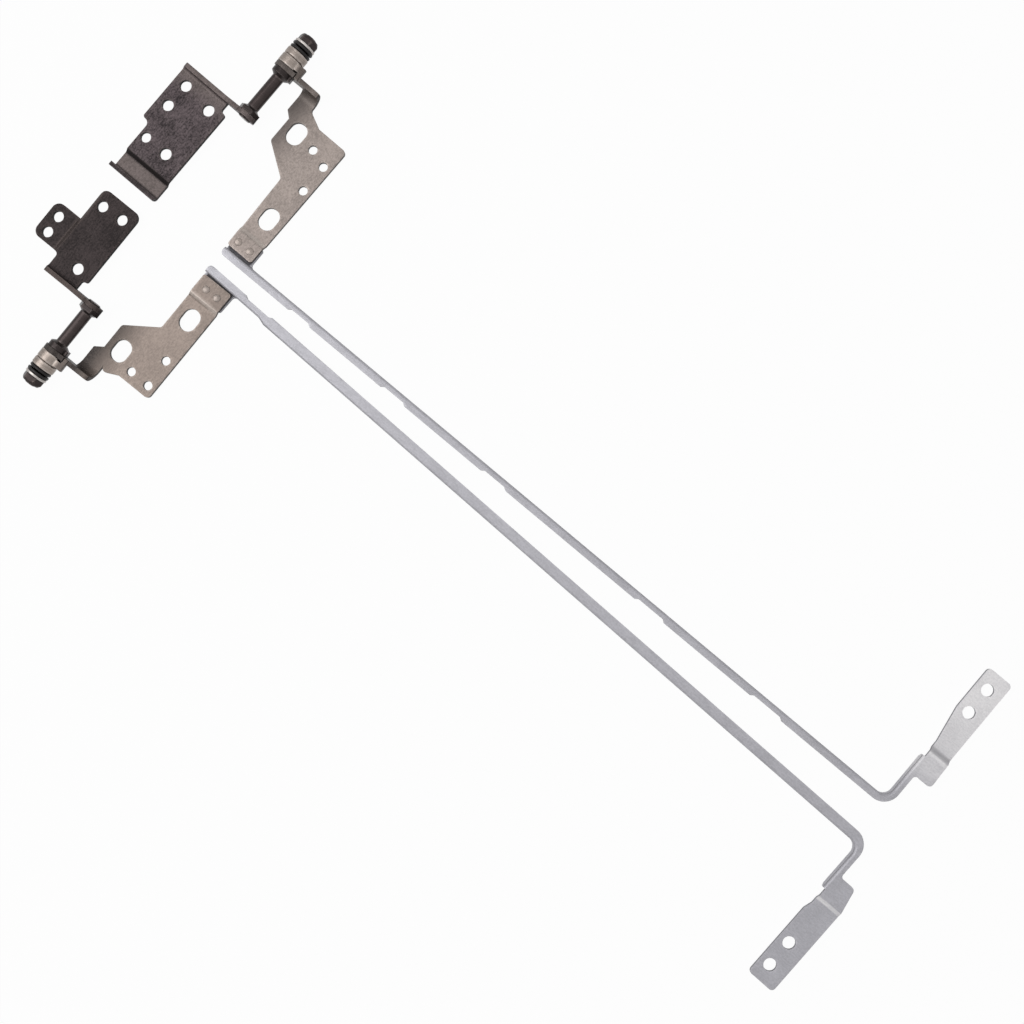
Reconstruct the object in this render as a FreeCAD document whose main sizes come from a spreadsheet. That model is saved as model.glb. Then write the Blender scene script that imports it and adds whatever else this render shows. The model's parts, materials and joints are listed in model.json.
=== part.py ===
import FreeCAD, Part
import math
import os
import re
import Sketcher
from FreeCAD import Placement, Rotation, Vector

# A pair of laptop lid hinges, open flat and lying side by side. Millimetres, +Z up.
#
# Each hinge is drawn in its own frame: x runs from the hinge axis along the strap, y runs along the
# hinge axis from the strap towards the nut, and z is the height above the table. The left hinge is
# drawn the same way, with its own sizes, and then mirrored.

# Sizes that both hinges share: name, millimetres, meaning.
SHARED_SIZES = [
    ("axis_height", 3.05, "hinge axis above the table"),
    ("cut_margin", 3.0, "how far a cutting outline reaches past the sheet"),
    ("joggle_run", 1.0, "length of the slope where a sheet steps up or down"),
    # lid bracket, measured from its riveted end (y = 0) and down from its ear
    ("lid_thickness", 1.2, "sheet of the lid bracket"),
    ("lid_bend", 2.3, "inside of the fold up to the lid ear"),
    ("lid_neck_drop", 7.8, "ear down to the foot of the neck"),
    ("lid_neck_slant", 1.5, "height of the slant at the foot of the neck"),
    ("lid_shoulder_run", 4.5, "sideways reach of the shoulder beside the neck"),
    ("lid_shoulder_rise", 2.2, "height of that shoulder"),
    ("lid_slant_drop", 14.8, "ear down to the upper end of the slanted edge"),
    ("lid_slant_height", 5.7, "height of the slanted edge"),
    ("lid_corner", 1.1, "rounding of the lid bracket's corners"),
    ("lid_eye_radius", 2.9, "round end of the lid ear"),
    ("lid_ear_top", 4.7, "height of the lid ear above the neck's outer edge"),
    ("lid_ear_corner", 1.1, "rounding of the lid ear's top corner"),
    ("lid_slot_width", 4.5, "large oval holes, along the strap"),
    ("lid_slot_length", 5.9, "large oval holes, along the axis"),
    ("lid_slot_corner", 2.15, "rounding of the large oval holes"),
    ("lid_hole", 2.3, "small screw holes of the lid bracket"),
    ("lid_slot_in", 3.9, "upper oval hole from the wing's left edge"),
    ("lid_low_slot_in", 4.3, "lower oval hole from the riveted half's left edge"),
    ("lid_low_slot_up", 11.3, "lower oval hole from the riveted end"),
    ("hook_width", 1.2, "hook of the tabbed washer, across"),
    ("hook_near", 3.5, "hook of the tabbed washer from the axis"),
    ("hook_height", 1.2, "depth of the hook in the lid ear"),
    ("hook_play", 0.1, "room around the hook in the ear's notch"),
    # base bracket, measured down from the inside of its upright flange
    ("base_thickness", 1.2, "sheet of the base bracket"),
    ("base_bend", 0.9, "inside of the fold up to the flange"),
    ("base_fold", 1.1, "outside of that fold"),
    ("base_step", 1.0, "base plate above its low end or tab"),
    ("base_flange_rise", 1.2, "upright flange above the base plate"),
    ("base_flange_corner", 0.8, "rounding of the flange's free end"),
    ("base_eye_radius", 2.7, "round end of the base ear"),
    ("base_arm_rise", 2.1, "top of the arm above the axis, at the eye"),
    ("base_arm_run", 7.0, "length of the slope from the eye down to the flange"),
    ("base_relief_corner", 0.7, "rounding inside the relief notch"),
    # strap
    ("strap_thickness", 0.8, "sheet of the strap"),
    ("strap_height", 2.6, "top of the strap above the table"),
    ("strap_bend", 0.7, "outside of the strap's long fold"),
    ("tab_over", 0.3, "strap tab beyond the lid bracket's right edge"),
    ("tab_room", 0.3, "strap tab short of the lid bracket's joggle"),
    ("tab_blend", 1.0, "rounding where the tab meets the strap"),
    ("tab_corner", 0.6, "rounding of the tab's free corner and of the riveted end's corners"),
    ("neck_width", 1.6, "strap behind its corner"),
    ("corner_outside", 4.6, "outer radius of the strap's corner"),
    ("corner_inside", 2.6, "inner radius of the strap's corner"),
    ("foot_blend", 0.9, "rounding where the foot widens"),
    ("foot_corner", 1.1, "rounding of the foot's corners and of the strap's end"),
    ("leg_end", 16.2, "outer edge of the strap to the end of its upright leg"),
    ("leg_slope", 0.8, "slope at the end of the upright leg"),
    ("waist_in", 0.6, "waist of the foot from the inside of the neck"),
    ("waist_length", 4.7, "straight part of the waist"),
    ("foot_drop", 0.8, "foot's end below the top of the strap"),
    ("foot_joggle", 18.2, "outer edge of the strap to the joggle in the foot"),
    ("foot_hole", 3.3, "screw holes of the foot"),
    ("foot_hole_up", 4.7, "outer foot hole from the end of the foot"),
    ("foot_hole_spacing", 7.2, "between the two foot holes"),
    ("dent_run", 0.9, "slope at each end of a shallow dent in the strap's edge"),
    # rivets
    ("rivet_radius", 0.6, "rivet shank"),
    ("rivet_play", 0.02, "room around the rivet shank in the lid bracket"),
    ("strap_rivet_play", 0.08, "room around the rivet shank in the strap"),
    ("rivet_head", 0.95, "radius of the rivet head"),
    ("rivet_head_height", 0.3, "rivet head above the lid bracket"),
    ("rivet_chamfer", 0.2, "chamfer of the rivet head"),
    # shaft and the stack on it, measured along the axis from the inside of the lid ear
    ("running_play", 0.05, "room between the shaft and what turns on it"),
    ("key_play", 0.03, "room between the shaft and what is keyed to it"),
    ("journal_radius", 1.5, "shaft where the lid ear turns"),
    ("shaft_radius", 1.55, "shaft between the ears"),
    ("collar_radius", 2.55, "stop collar against the lid ear"),
    ("collar_length", 1.4, "stop collar"),
    ("collar_cone", 0.7, "cone behind the stop collar"),
    ("lug_reach", 3.0, "stop lug from the axis"),
    ("lug_width", 1.9, "stop lug, across"),
    ("hex_flats", 4.9, "hexagon collar against the base ear, across flats"),
    ("hex_length", 1.2, "hexagon collar"),
    ("hex_cone", 0.6, "cone beside the hexagon collar"),
    ("tenon_radius", 1.2, "shaft through the base ear"),
    ("peen_radius", 1.7, "spread end outside the base ear"),
    ("peen_height", 0.4, "thickness of the spread end"),
    ("key_flats", 2.3, "shaft across its two flats"),
    ("ring_radius", 2.95, "tabbed washer and pressure ring"),
    ("ring_edge", 0.2, "broken edges of the rings"),
    ("tabbed_length", 2.6, "tabbed washer"),
    ("tab_gap", 0.5, "tab from the lid ear"),
    ("tab_length", 1.8, "tab, along the axis"),
    ("pressure_length", 2.0, "pressure ring"),
    ("spring_radius", 2.9, "disc springs"),
    ("spring_sheet", 0.55, "sheet of a disc spring"),
    ("spring_dish", 0.4, "dish of a disc spring"),
    ("spring_play", 0.02, "room between the two springs' rims"),
    ("washer_radius", 2.8, "end washer"),
    ("washer_length", 0.7, "end washer"),
    ("washer_edge", 0.15, "broken edges of the end washer"),
    ("nut_flats", 4.7, "nut, across flats"),
    ("nut_length", 2.0, "nut"),
    ("nut_crown", 2.1, "radius of the nut's end face"),
    ("nut_taper", 1.2, "length of the nut's chamfer"),
    ("thread_end", 0.3, "thread beyond the nut"),
    ("thread_chamfer", 0.25, "chamfer of the threaded end"),
]

# Sizes of each hinge, in the same form.
RIGHT_SIZES = [
    ("hinge_x", -113.4, "hinge axis, along the table"),
    ("hinge_y", 6.0, "lid bracket's end, across the table"),
    ("hinge_turn", -0.5, "turn of the whole hinge on the table, degrees"),
    ("strap_turn", 0.5, "turn of the strap about its rivets, degrees"),
    # lid bracket
    ("ear_y", 41.4, "lid bracket from its riveted end to the inside of its ear"),
    ("lid_left", 16.0, "left edge of the riveted half"),
    ("lid_right", 24.3, "right edge"),
    ("lid_end_left", 16.6, "left edge at the riveted end"),
    ("lid_end_right", 24.1, "right edge at the riveted end"),
    ("lid_wing_left", 7.9, "left edge of the wing"),
    ("lid_wing_drop", 5.0, "ear down to the top edge of the wing"),
    ("lid_neck_left", 6.2, "left edge of the neck"),
    ("lid_neck_right", 10.9, "right edge of the neck"),
    ("lid_rivet_reach", 4.7, "riveted end of the lid bracket up to its joggle"),
    ("lid_slot_drop", 9.5, "ear down to the upper oval hole"),
    ("lid_first_in", 6.8, "first small hole from the right edge"),
    ("lid_first_drop", 9.9, "ear down to the first small hole"),
    ("lid_second_in", 2.1, "second small hole from the right edge"),
    ("lid_second_drop", 11.5, "ear down to the second small hole"),
    ("lid_third_in", 2.1, "third small hole from the right edge"),
    ("lid_third_drop", 19.2, "ear down to the third small hole"),
    # base bracket
    ("ear_gap", 13.7, "between the two ears"),
    ("base_right", 4.3, "axis to the base plate's near edge"),
    ("base_left", 19.8, "axis to the base plate's far edge at the flange"),
    ("base_relief", 5.8, "axis to the relief notch beside the arm"),
    ("base_relief_drop", 2.6, "flange down to the end of the relief notch"),
    ("base_length", 30.5, "flange down to the far end of the base bracket"),
    ("low_end_left", 17.6, "axis to the far edge of the base plate's lower half"),
    ("low_end_drop", 16.0, "flange down to the step in the far edge"),
    ("low_end_blend", 1.4, "rounding inside that step"),
    ("low_end_corner", 0.7, "rounding outside that step"),
    ("strip_drop", 24.4, "flange down to the joggle before the low strip"),
    ("strip_corner", 1.0, "rounding of the low strip's corner"),
    ("lip_thickness", 1.1, "upright lip at the end of the strip"),
    ("lip_rise", 0.7, "lip above the strip"),
    ("lip_over", 1.1, "lip beyond the strip's far edge"),
    # strap
    ("strap_start", 16.8, "end of the strap at the lid bracket"),
    ("strap_width", 2.1, "top of the strap"),
    ("strap_offset", 2.9, "outer edge of the strap beyond the lid bracket's end"),
    ("neck_x", 230.1, "axis to the inside of the strap's neck"),
    ("foot_width_start", 10.9, "outer edge of the strap to where the foot widens"),
    ("foot_start_right", 6.6, "right edge of the foot where it widens, from the inside of the neck"),
    ("foot_right", 6.3, "right edge of the foot's end, from the inside of the neck"),
    ("foot_left", 1.1, "left edge of the foot's end, beyond the inside of the neck"),
    ("foot_end", 43.4, "outer edge of the strap to the end of the foot"),
    ("foot_hole_in", 3.3, "foot holes from the foot's left edge"),
    ("waist_flare", 10.0, "length of the flare from the waist to the foot's end"),
    ("dent_depth", 0.6, "shallow dents in the strap's outer edge"),
    # rivets
    ("rivet_x", 18.4, "axis to the first rivet"),
    ("rivet_up", 2.1, "rivets from the lid bracket's end"),
    ("rivet_spacing", 3.7, "between the two rivets"),
]
LEFT_SIZES = [
    ("hinge_x", -112.5, "hinge axis, along the table"),
    ("hinge_y", -3.7, "lid bracket's end, across the table"),
    ("hinge_turn", 0.75, "turn of the whole hinge on the table, degrees"),
    ("strap_turn", -2.1, "turn of the strap about its rivets, degrees"),
    # lid bracket
    ("ear_y", 37.6, "lid bracket from its riveted end to the inside of its ear"),
    ("lid_left", 16.0, "left edge of the riveted half"),
    ("lid_right", 24.6, "right edge"),
    ("lid_end_left", 16.1, "left edge at the riveted end"),
    ("lid_end_right", 24.7, "right edge at the riveted end"),
    ("lid_wing_left", 8.0, "left edge of the wing"),
    ("lid_wing_drop", 4.5, "ear down to the top edge of the wing"),
    ("lid_neck_left", 5.9, "left edge of the neck"),
    ("lid_neck_right", 10.8, "right edge of the neck"),
    ("lid_rivet_reach", 5.5, "riveted end of the lid bracket up to its joggle"),
    ("lid_slot_drop", 9.6, "ear down to the upper oval hole"),
    ("lid_first_in", 7.5, "first small hole from the right edge"),
    ("lid_first_drop", 7.2, "ear down to the first small hole"),
    ("lid_second_in", 2.1, "second small hole from the right edge"),
    ("lid_second_drop", 7.1, "ear down to the second small hole"),
    ("lid_third_in", 2.5, "third small hole from the right edge"),
    ("lid_third_drop", 14.7, "ear down to the third small hole"),
    # base bracket
    ("ear_gap", 13.4, "between the two ears"),
    ("base_right", 4.9, "axis to the base plate's near edge"),
    ("base_left", 15.2, "axis to the base plate's far edge at the flange"),
    ("base_relief", 6.2, "axis to the relief notch beside the arm"),
    ("base_relief_drop", 2.6, "flange down to the end of the relief notch"),
    ("base_length", 24.0, "flange down to the far end of the base bracket"),
    ("plate_left", 16.4, "axis to the far edge of the base plate's lower half"),
    ("plate_corner", 2.0, "rounding of the plate's end and of the side tab"),
    ("side_tab_left", 23.9, "axis to the end of the side tab"),
    ("side_tab_near", 4.1, "flange down to the near edge of the side tab"),
    ("side_tab_far", 14.2, "flange down to the far edge of the side tab"),
    ("side_tab_blend", 0.9, "rounding between the side tab and the plate"),
    ("side_tab_joggle", 0.4, "start of the joggle inside the plate's far edge"),
    # strap
    ("strap_start", 15.7, "end of the strap at the lid bracket"),
    ("strap_width", 2.8, "top of the strap"),
    ("strap_offset", 2.65, "outer edge of the strap beyond the lid bracket's end"),
    ("neck_x", 231.5, "axis to the inside of the strap's neck"),
    ("foot_width_start", 11.5, "outer edge of the strap to where the foot widens"),
    ("foot_start_right", 6.2, "right edge of the foot where it widens, from the inside of the neck"),
    ("foot_right", 7.8, "right edge of the foot's end, from the inside of the neck"),
    ("foot_left", 0.1, "left edge of the foot's end, beyond the inside of the neck"),
    ("foot_end", 44.1, "outer edge of the strap to the end of the foot"),
    ("foot_hole_in", 3.0, "foot holes from the foot's left edge"),
    ("waist_flare", 2.3, "length of the flare from the waist to the foot's end"),
    ("dent_depth", 0.5, "shallow dents in the strap's outer edge"),
    ("near_width", 2.2, "top of the strap before the gap in its upright leg"),
    ("leg_gap_start", 33.3, "axis to the gap in the strap's upright leg"),
    ("leg_gap_length", 7.0, "gap in the strap's upright leg"),
    # rivets
    ("rivet_x", 18.9, "axis to the first rivet"),
    ("rivet_up", 2.8, "rivets from the lid bracket's end"),
    ("rivet_spacing", 3.4, "between the two rivets"),
]

# Screw holes of the base brackets: distance from the axis, drop from the flange, diameter.
BASE_HOLES = {
    "right": [(16.5, 3.4, 2.9), (8.3, 4.4, 3.0), (16.8, 9.9, 2.9), (15.8, 19.5, 2.6), (9.4, 19.5, 3.0)],
    "left": [(13.9, 20.0, 2.8), (8.1, 20.4, 2.8), (21.3, 11.1, 2.8), (21.0, 6.5, 2.8), (9.0, 4.1, 3.0)],
}

# Shallow dents in the straps' outer edges: distance from the axis, length.
STRAP_DENTS = {
    "right": [(38.5, 7.2), (68.4, 7.8), (100.8, 8.0), (150.4, 9.6), (187.6, 10.3)],
    "left": [(27.5, 8.6)],
}

# Two places closer than this are the same.
CLOSE = 1e-4
# A hexagon's corner radius over half its size across flats.
HEX_CORNER = 1 / math.cos(math.radians(30))
# How far up and down the lid eye's radius its arm takes hold.
EYE_HOLD = 0.85

SIDES = ("right", "left")
LETTERS = "abcdefgh"

doc = FreeCAD.newDocument("laptop_hinges")
sheet = doc.addObject("Spreadsheet::Sheet", "sizes")
nodes = {}


# The sheet of sizes

def write_sizes():
    rows = list(SHARED_SIZES)
    for side, own in (("right", RIGHT_SIZES), ("left", LEFT_SIZES)):
        rows += [(f"{side}_{name}", value, f"{side} hinge, {meaning}") for name, value, meaning in own]
    for side in SIDES:
        for letter, (out, drop, diameter) in zip(LETTERS, BASE_HOLES[side]):
            hole = f"{side}_base_hole_{letter}"
            rows.append((f"{hole}_out", out, "base hole, from the axis"))
            rows.append((f"{hole}_drop", drop, "base hole, down from the flange"))
            rows.append((f"{hole}_bore", diameter, "base hole, diameter"))
        for letter, (start, length) in zip(LETTERS, STRAP_DENTS[side]):
            rows.append((f"{side}_dent_{letter}_start", start, "dent in the strap, from the axis"))
            rows.append((f"{side}_dent_{letter}_length", length, "dent in the strap, length"))
    for number, (alias, value, meaning) in enumerate(rows, 1):
        sheet.set(f"A{number}", alias)
        sheet.set(f"B{number}", str(value))
        sheet.setAlias(f"B{number}", alias)
        sheet.set(f"C{number}", meaning)
    doc.recompute()
    return {alias for alias, value, meaning in rows}


ALIASES = write_sizes()


class Hinge:
    """Turns a formula in plain size names into one on the sheet's cells, for one of the two hinges."""

    def __init__(self, side):
        self.side = side

    def cells(self, formula):
        def cell(match):
            own = f"{self.side}_{match.group()}"
            return f"sizes.{own if own in ALIASES else match.group()}"
        return re.sub(r"[a-z][a-z_]+", cell, formula)

    def value(self, formula):
        return float(sheet.evalExpression(self.cells(formula)))

    def body(self, name):
        return doc.addObject("PartDesign::Body", f"{self.side}_{name}_body")

    def keep(self, name, piece):
        """Records a finished piece under its node name; the left hinge's pieces are mirrored."""
        node = f"{self.side}_{name}"
        if self.side == "left":
            mirrored = doc.addObject("Part::Mirroring", f"{node}_mirrored")
            mirrored.Source = piece
            mirrored.Normal = Vector(0, 1, 0)
            piece = mirrored
        piece.Label = node
        nodes[node] = piece


# Sketches

def new_sketch(hinge, body, role, shift=("0", "0", "0")):
    """A sketch on one of the body's own planes, moved in that plane's frame by three formulas."""
    sketch = body.newObject("Sketcher::SketchObject", f"{body.Name}_sketch")
    plane = next(feature for feature in body.Origin.OriginFeatures if feature.Role == role)
    sketch.AttachmentSupport = [(plane, "")]
    sketch.MapMode = "FlatFace"
    for axis, formula in zip("xyz", shift):
        sketch.setExpression(f"AttachmentOffset.Base.{axis}", hinge.cells(formula))
    return sketch


def bind(hinge, sketch, constraint, formula):
    index = sketch.addConstraint(constraint)
    sketch.setExpression(f"Constraints[{index}]", hinge.cells(formula))


def pin(hinge, sketch, geometry, position, x, y):
    """Fixes a point of the sketch at two formulas."""
    at = sketch.getPoint(geometry, position)
    bind(hinge, sketch, Sketcher.Constraint("DistanceX", -1, 1, geometry, position, at.x), x)
    bind(hinge, sketch, Sketcher.Constraint("DistanceY", -1, 1, geometry, position, at.y), y)


def add_outline(hinge, sketch, corners):
    """Closes a loop of straight sides; a corner is (x, y) or, rounded, (x, y, radius)."""
    spots = [Vector(hinge.value(x), hinge.value(y), 0) for x, y, *_ in corners]
    count = len(corners)
    arrive, leave, arcs = list(spots), list(spots), {}
    for i, corner in enumerate(corners):
        if len(corner) == 3:
            incoming = (spots[i] - spots[i - 1]).normalize()
            outgoing = (spots[(i + 1) % count] - spots[i]).normalize()
            radius = hinge.value(corner[2])
            reach = radius * math.tan(incoming.getAngle(outgoing) / 2)
            arrive[i] = spots[i] - incoming * reach
            leave[i] = spots[i] + outgoing * reach
            turns_left = incoming.cross(outgoing).z > 0
            inward = Vector(-incoming.y, incoming.x, 0) * (1 if turns_left else -1)
            arcs[i] = (arrive[i] + inward * radius, radius, turns_left)
    first = sketch.GeometryCount
    for i in range(count):
        sketch.addGeometry(Part.LineSegment(leave[i], arrive[(i + 1) % count]))
    for i, corner in enumerate(corners):
        before = first + (i - 1) % count
        after = first + i
        if i not in arcs:
            sketch.addConstraint(Sketcher.Constraint("Coincident", before, 2, after, 1))
            pin(hinge, sketch, after, 1, corner[0], corner[1])
            continue
        centre, radius, turns_left = arcs[i]
        begin, end = (arrive[i], leave[i]) if turns_left else (leave[i], arrive[i])
        angles = [math.atan2(p.y - centre.y, p.x - centre.x) for p in (begin, end)]
        circle = Part.Circle(centre, Vector(0, 0, 1), radius)
        arc = sketch.addGeometry(Part.ArcOfCircle(circle, *angles))
        tip = sketch.addGeometry(Part.Point(spots[i]), True)
        sketch.addConstraint(Sketcher.Constraint("Tangent", before, 2, arc, 1 if turns_left else 2))
        sketch.addConstraint(Sketcher.Constraint("Tangent", after, 1, arc, 2 if turns_left else 1))
        sketch.addConstraint(Sketcher.Constraint("PointOnObject", tip, 1, before))
        sketch.addConstraint(Sketcher.Constraint("PointOnObject", tip, 1, after))
        pin(hinge, sketch, tip, 1, corner[0], corner[1])
        bind(hinge, sketch, Sketcher.Constraint("Radius", arc, radius), corner[2])


def add_circle(hinge, sketch, x, y, radius):
    spot = Vector(hinge.value(x), hinge.value(y), 0)
    size = hinge.value(radius)
    circle = sketch.addGeometry(Part.Circle(spot, Vector(0, 0, 1), size))
    pin(hinge, sketch, circle, 3, x, y)
    bind(hinge, sketch, Sketcher.Constraint("Radius", circle, size), radius)


def add_oval(hinge, sketch, x, y, width, height, radius):
    """A rounded rectangle about a centre."""
    left, right = f"{x} - {width} / 2", f"{x} + {width} / 2"
    low, high = f"{y} - {height} / 2", f"{y} + {height} / 2"
    corners = [(left, low), (right, low), (right, high), (left, high)]
    add_outline(hinge, sketch, [(across, along, radius) for across, along in corners])


# Features

def pad(hinge, body, sketch, length, against=False):
    feature = body.newObject("PartDesign::Pad", f"{body.Name}_pad")
    feature.Profile = sketch
    feature.Reversed = against
    feature.setExpression("Length", hinge.cells(length))
    doc.recompute()
    return feature


def cut_through(body, sketch):
    """Cuts the sketch's loops right through the body, both ways; the body has to lose some volume."""
    before = body.Shape.Volume
    feature = body.newObject("PartDesign::Pocket", f"{body.Name}_cut")
    feature.Profile = sketch
    feature.Type = "ThroughAll"
    feature.SideType = "Symmetric"
    doc.recompute()
    if body.Shape.Volume >= before:
        raise RuntimeError(f"{feature.Name} cuts nothing")
    return feature


def revolve(body, sketch, kind="PartDesign::Revolution"):
    """Turns the sketch about its own vertical axis, adding or (as a Groove) cutting."""
    feature = body.newObject(kind, f"{body.Name}_turned")
    feature.Profile = sketch
    feature.ReferenceAxis = (sketch, ["V_Axis"])
    feature.Angle = 360
    doc.recompute()
    return feature


def soften(hinge, body, radius, chosen, kind="Fillet", size="Radius"):
    """Rounds or chamfers the edges whose bounding boxes pass the test."""
    base = body.Tip
    edges = [f"Edge{i}" for i, edge in enumerate(base.Shape.Edges, 1) if chosen(edge.BoundBox)]
    if not edges:
        raise RuntimeError(f"{body.Name}: no edge to soften")
    feature = body.newObject(f"PartDesign::{kind}", f"{body.Name}_soft")
    feature.Base = (base, edges)
    feature.setExpression(size, hinge.cells(radius))
    doc.recompute()
    return feature


def near(a, b):
    return abs(a - b) < CLOSE


def lies(box, x=None, y=None, z=None):
    """True for an edge that lies at the given x, y or z from end to end."""
    return all(level is None or (near(low, level) and near(high, level)) for low, high, level in (
        (box.XMin, box.XMax, x), (box.YMin, box.YMax, y), (box.ZMin, box.ZMax, z)))


def cut_joggle(hinge, body, role, gauge, top, path):
    """Trims a thick blank to a sheet of the given gauge whose underside follows (distance, height)."""
    first, last = path[0][0], path[-1][0]
    low, high = "0 - cut_margin", f"{top} + cut_margin"
    waste = new_sketch(hinge, body, role)
    add_outline(hinge, waste, [(first, low), (last, low)] + path[::-1])
    upper = [(along, f"{height} + {gauge}") for along, height in path]
    add_outline(hinge, waste, upper + [(last, high), (first, high)])
    cut_through(body, waste)


# Lid bracket: folded sheet with an ear that turns on the shaft

def make_lid_bracket(hinge):
    body = hinge.body("lid_bracket")
    outer, fold_start = "ear_y + lid_thickness", "ear_y - lid_bend - ring_edge"
    shoulder = "lid_neck_right + lid_shoulder_run"
    wing_top = "ear_y - lid_wing_drop"
    slant_high = "ear_y - lid_slant_drop"
    plan = new_sketch(hinge, body, "XY_Plane")
    add_outline(hinge, plan, [
        ("lid_end_left", "0", "tab_corner"),
        ("lid_end_right", "0", "tab_corner"),
        ("lid_right", wing_top, "lid_corner"),
        (shoulder, wing_top, "lid_corner"),
        ("lid_neck_right", f"{wing_top} + lid_shoulder_rise", "lid_corner"),
        ("lid_neck_right", fold_start),
        ("lid_neck_left", fold_start),
        ("lid_neck_left", "ear_y - lid_neck_drop + lid_neck_slant"),
        ("lid_wing_left", "ear_y - lid_neck_drop"),
        ("lid_wing_left", slant_high, "lid_corner"),
        ("lid_left", f"{slant_high} - lid_slant_height", "lid_corner"),
    ])
    pad(hinge, body, plan, "strap_thickness + lid_thickness")
    cut_joggle(hinge, body, "YZ_Plane", "lid_thickness", "strap_thickness + lid_thickness", [
        ("0 - cut_margin", "strap_thickness"),
        ("lid_rivet_reach", "strap_thickness"),
        ("lid_rivet_reach + joggle_run", "0"),
        (f"{outer} + cut_margin", "0"),
    ])

    # The end of the neck folds up into the ear, which carries the round eye.
    fold_end = "lid_bend + lid_thickness"
    fold = new_sketch(hinge, body, "YZ_Plane", ("0", "0", "lid_neck_left"))
    add_outline(hinge, fold, [
        (fold_start, "0"),
        (outer, "0", fold_end),
        (outer, f"{fold_end} + ring_edge"),
        ("ear_y", f"{fold_end} + ring_edge"),
        ("ear_y", "lid_thickness", "lid_bend"),
        (fold_start, "lid_thickness"),
    ])
    pad(hinge, body, fold, "lid_neck_right - lid_neck_left")
    face = ("0", "0", f"0 - ({outer})")
    arm = new_sketch(hinge, body, "XZ_Plane", face)
    add_outline(hinge, arm, [
        ("lid_neck_left", "lid_thickness"),
        ("lid_neck_left", fold_end),
        ("lid_neck_right", fold_end),
        ("lid_neck_right", "lid_ear_top", "lid_ear_corner"),
        ("lid_eye_radius / 2", f"axis_height + lid_eye_radius * {EYE_HOLD}"),
        ("lid_eye_radius / 2", f"axis_height - lid_eye_radius * {EYE_HOLD}"),
    ])
    pad(hinge, body, arm, "lid_thickness")
    eye = new_sketch(hinge, body, "XZ_Plane", face)
    add_circle(hinge, eye, "0", "axis_height", "lid_eye_radius")
    pad(hinge, body, eye, "lid_thickness")
    bore = new_sketch(hinge, body, "XZ_Plane")
    add_circle(hinge, bore, "0", "axis_height", "journal_radius + running_play")
    cut_through(body, bore)

    # A notch in the ear's top edge takes the hook of the tabbed washer.
    notch = new_sketch(hinge, body, "XZ_Plane")
    hook_low = "axis_height + lid_eye_radius / 2 - hook_height / 2 - hook_play"
    hook_top = "axis_height + lid_eye_radius + cut_margin"
    add_outline(hinge, notch, [
        ("hook_near - hook_play", hook_low),
        ("hook_near + hook_width + hook_play", hook_low),
        ("hook_near + hook_width + hook_play", hook_top),
        ("hook_near - hook_play", hook_top),
    ])
    cut_through(body, notch)

    holes = new_sketch(hinge, body, "XY_Plane")
    oval = ("lid_slot_width", "lid_slot_length", "lid_slot_corner")
    add_oval(hinge, holes, "lid_wing_left + lid_slot_in", "ear_y - lid_slot_drop", *oval)
    add_oval(hinge, holes, "lid_left + lid_low_slot_in", "lid_low_slot_up", *oval)
    for hole in ("first", "second", "third"):
        add_circle(hinge, holes, f"lid_right - lid_{hole}_in", f"ear_y - lid_{hole}_drop", "lid_hole / 2")
    for along in ("rivet_x", "rivet_x + rivet_spacing"):
        add_circle(hinge, holes, along, "rivet_up", "rivet_radius + rivet_play")
    cut_through(body, holes)
    hinge.keep("lid_bracket", body)


# Strap: angle-section rail with a tab under the lid bracket and a foot at its far end

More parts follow.
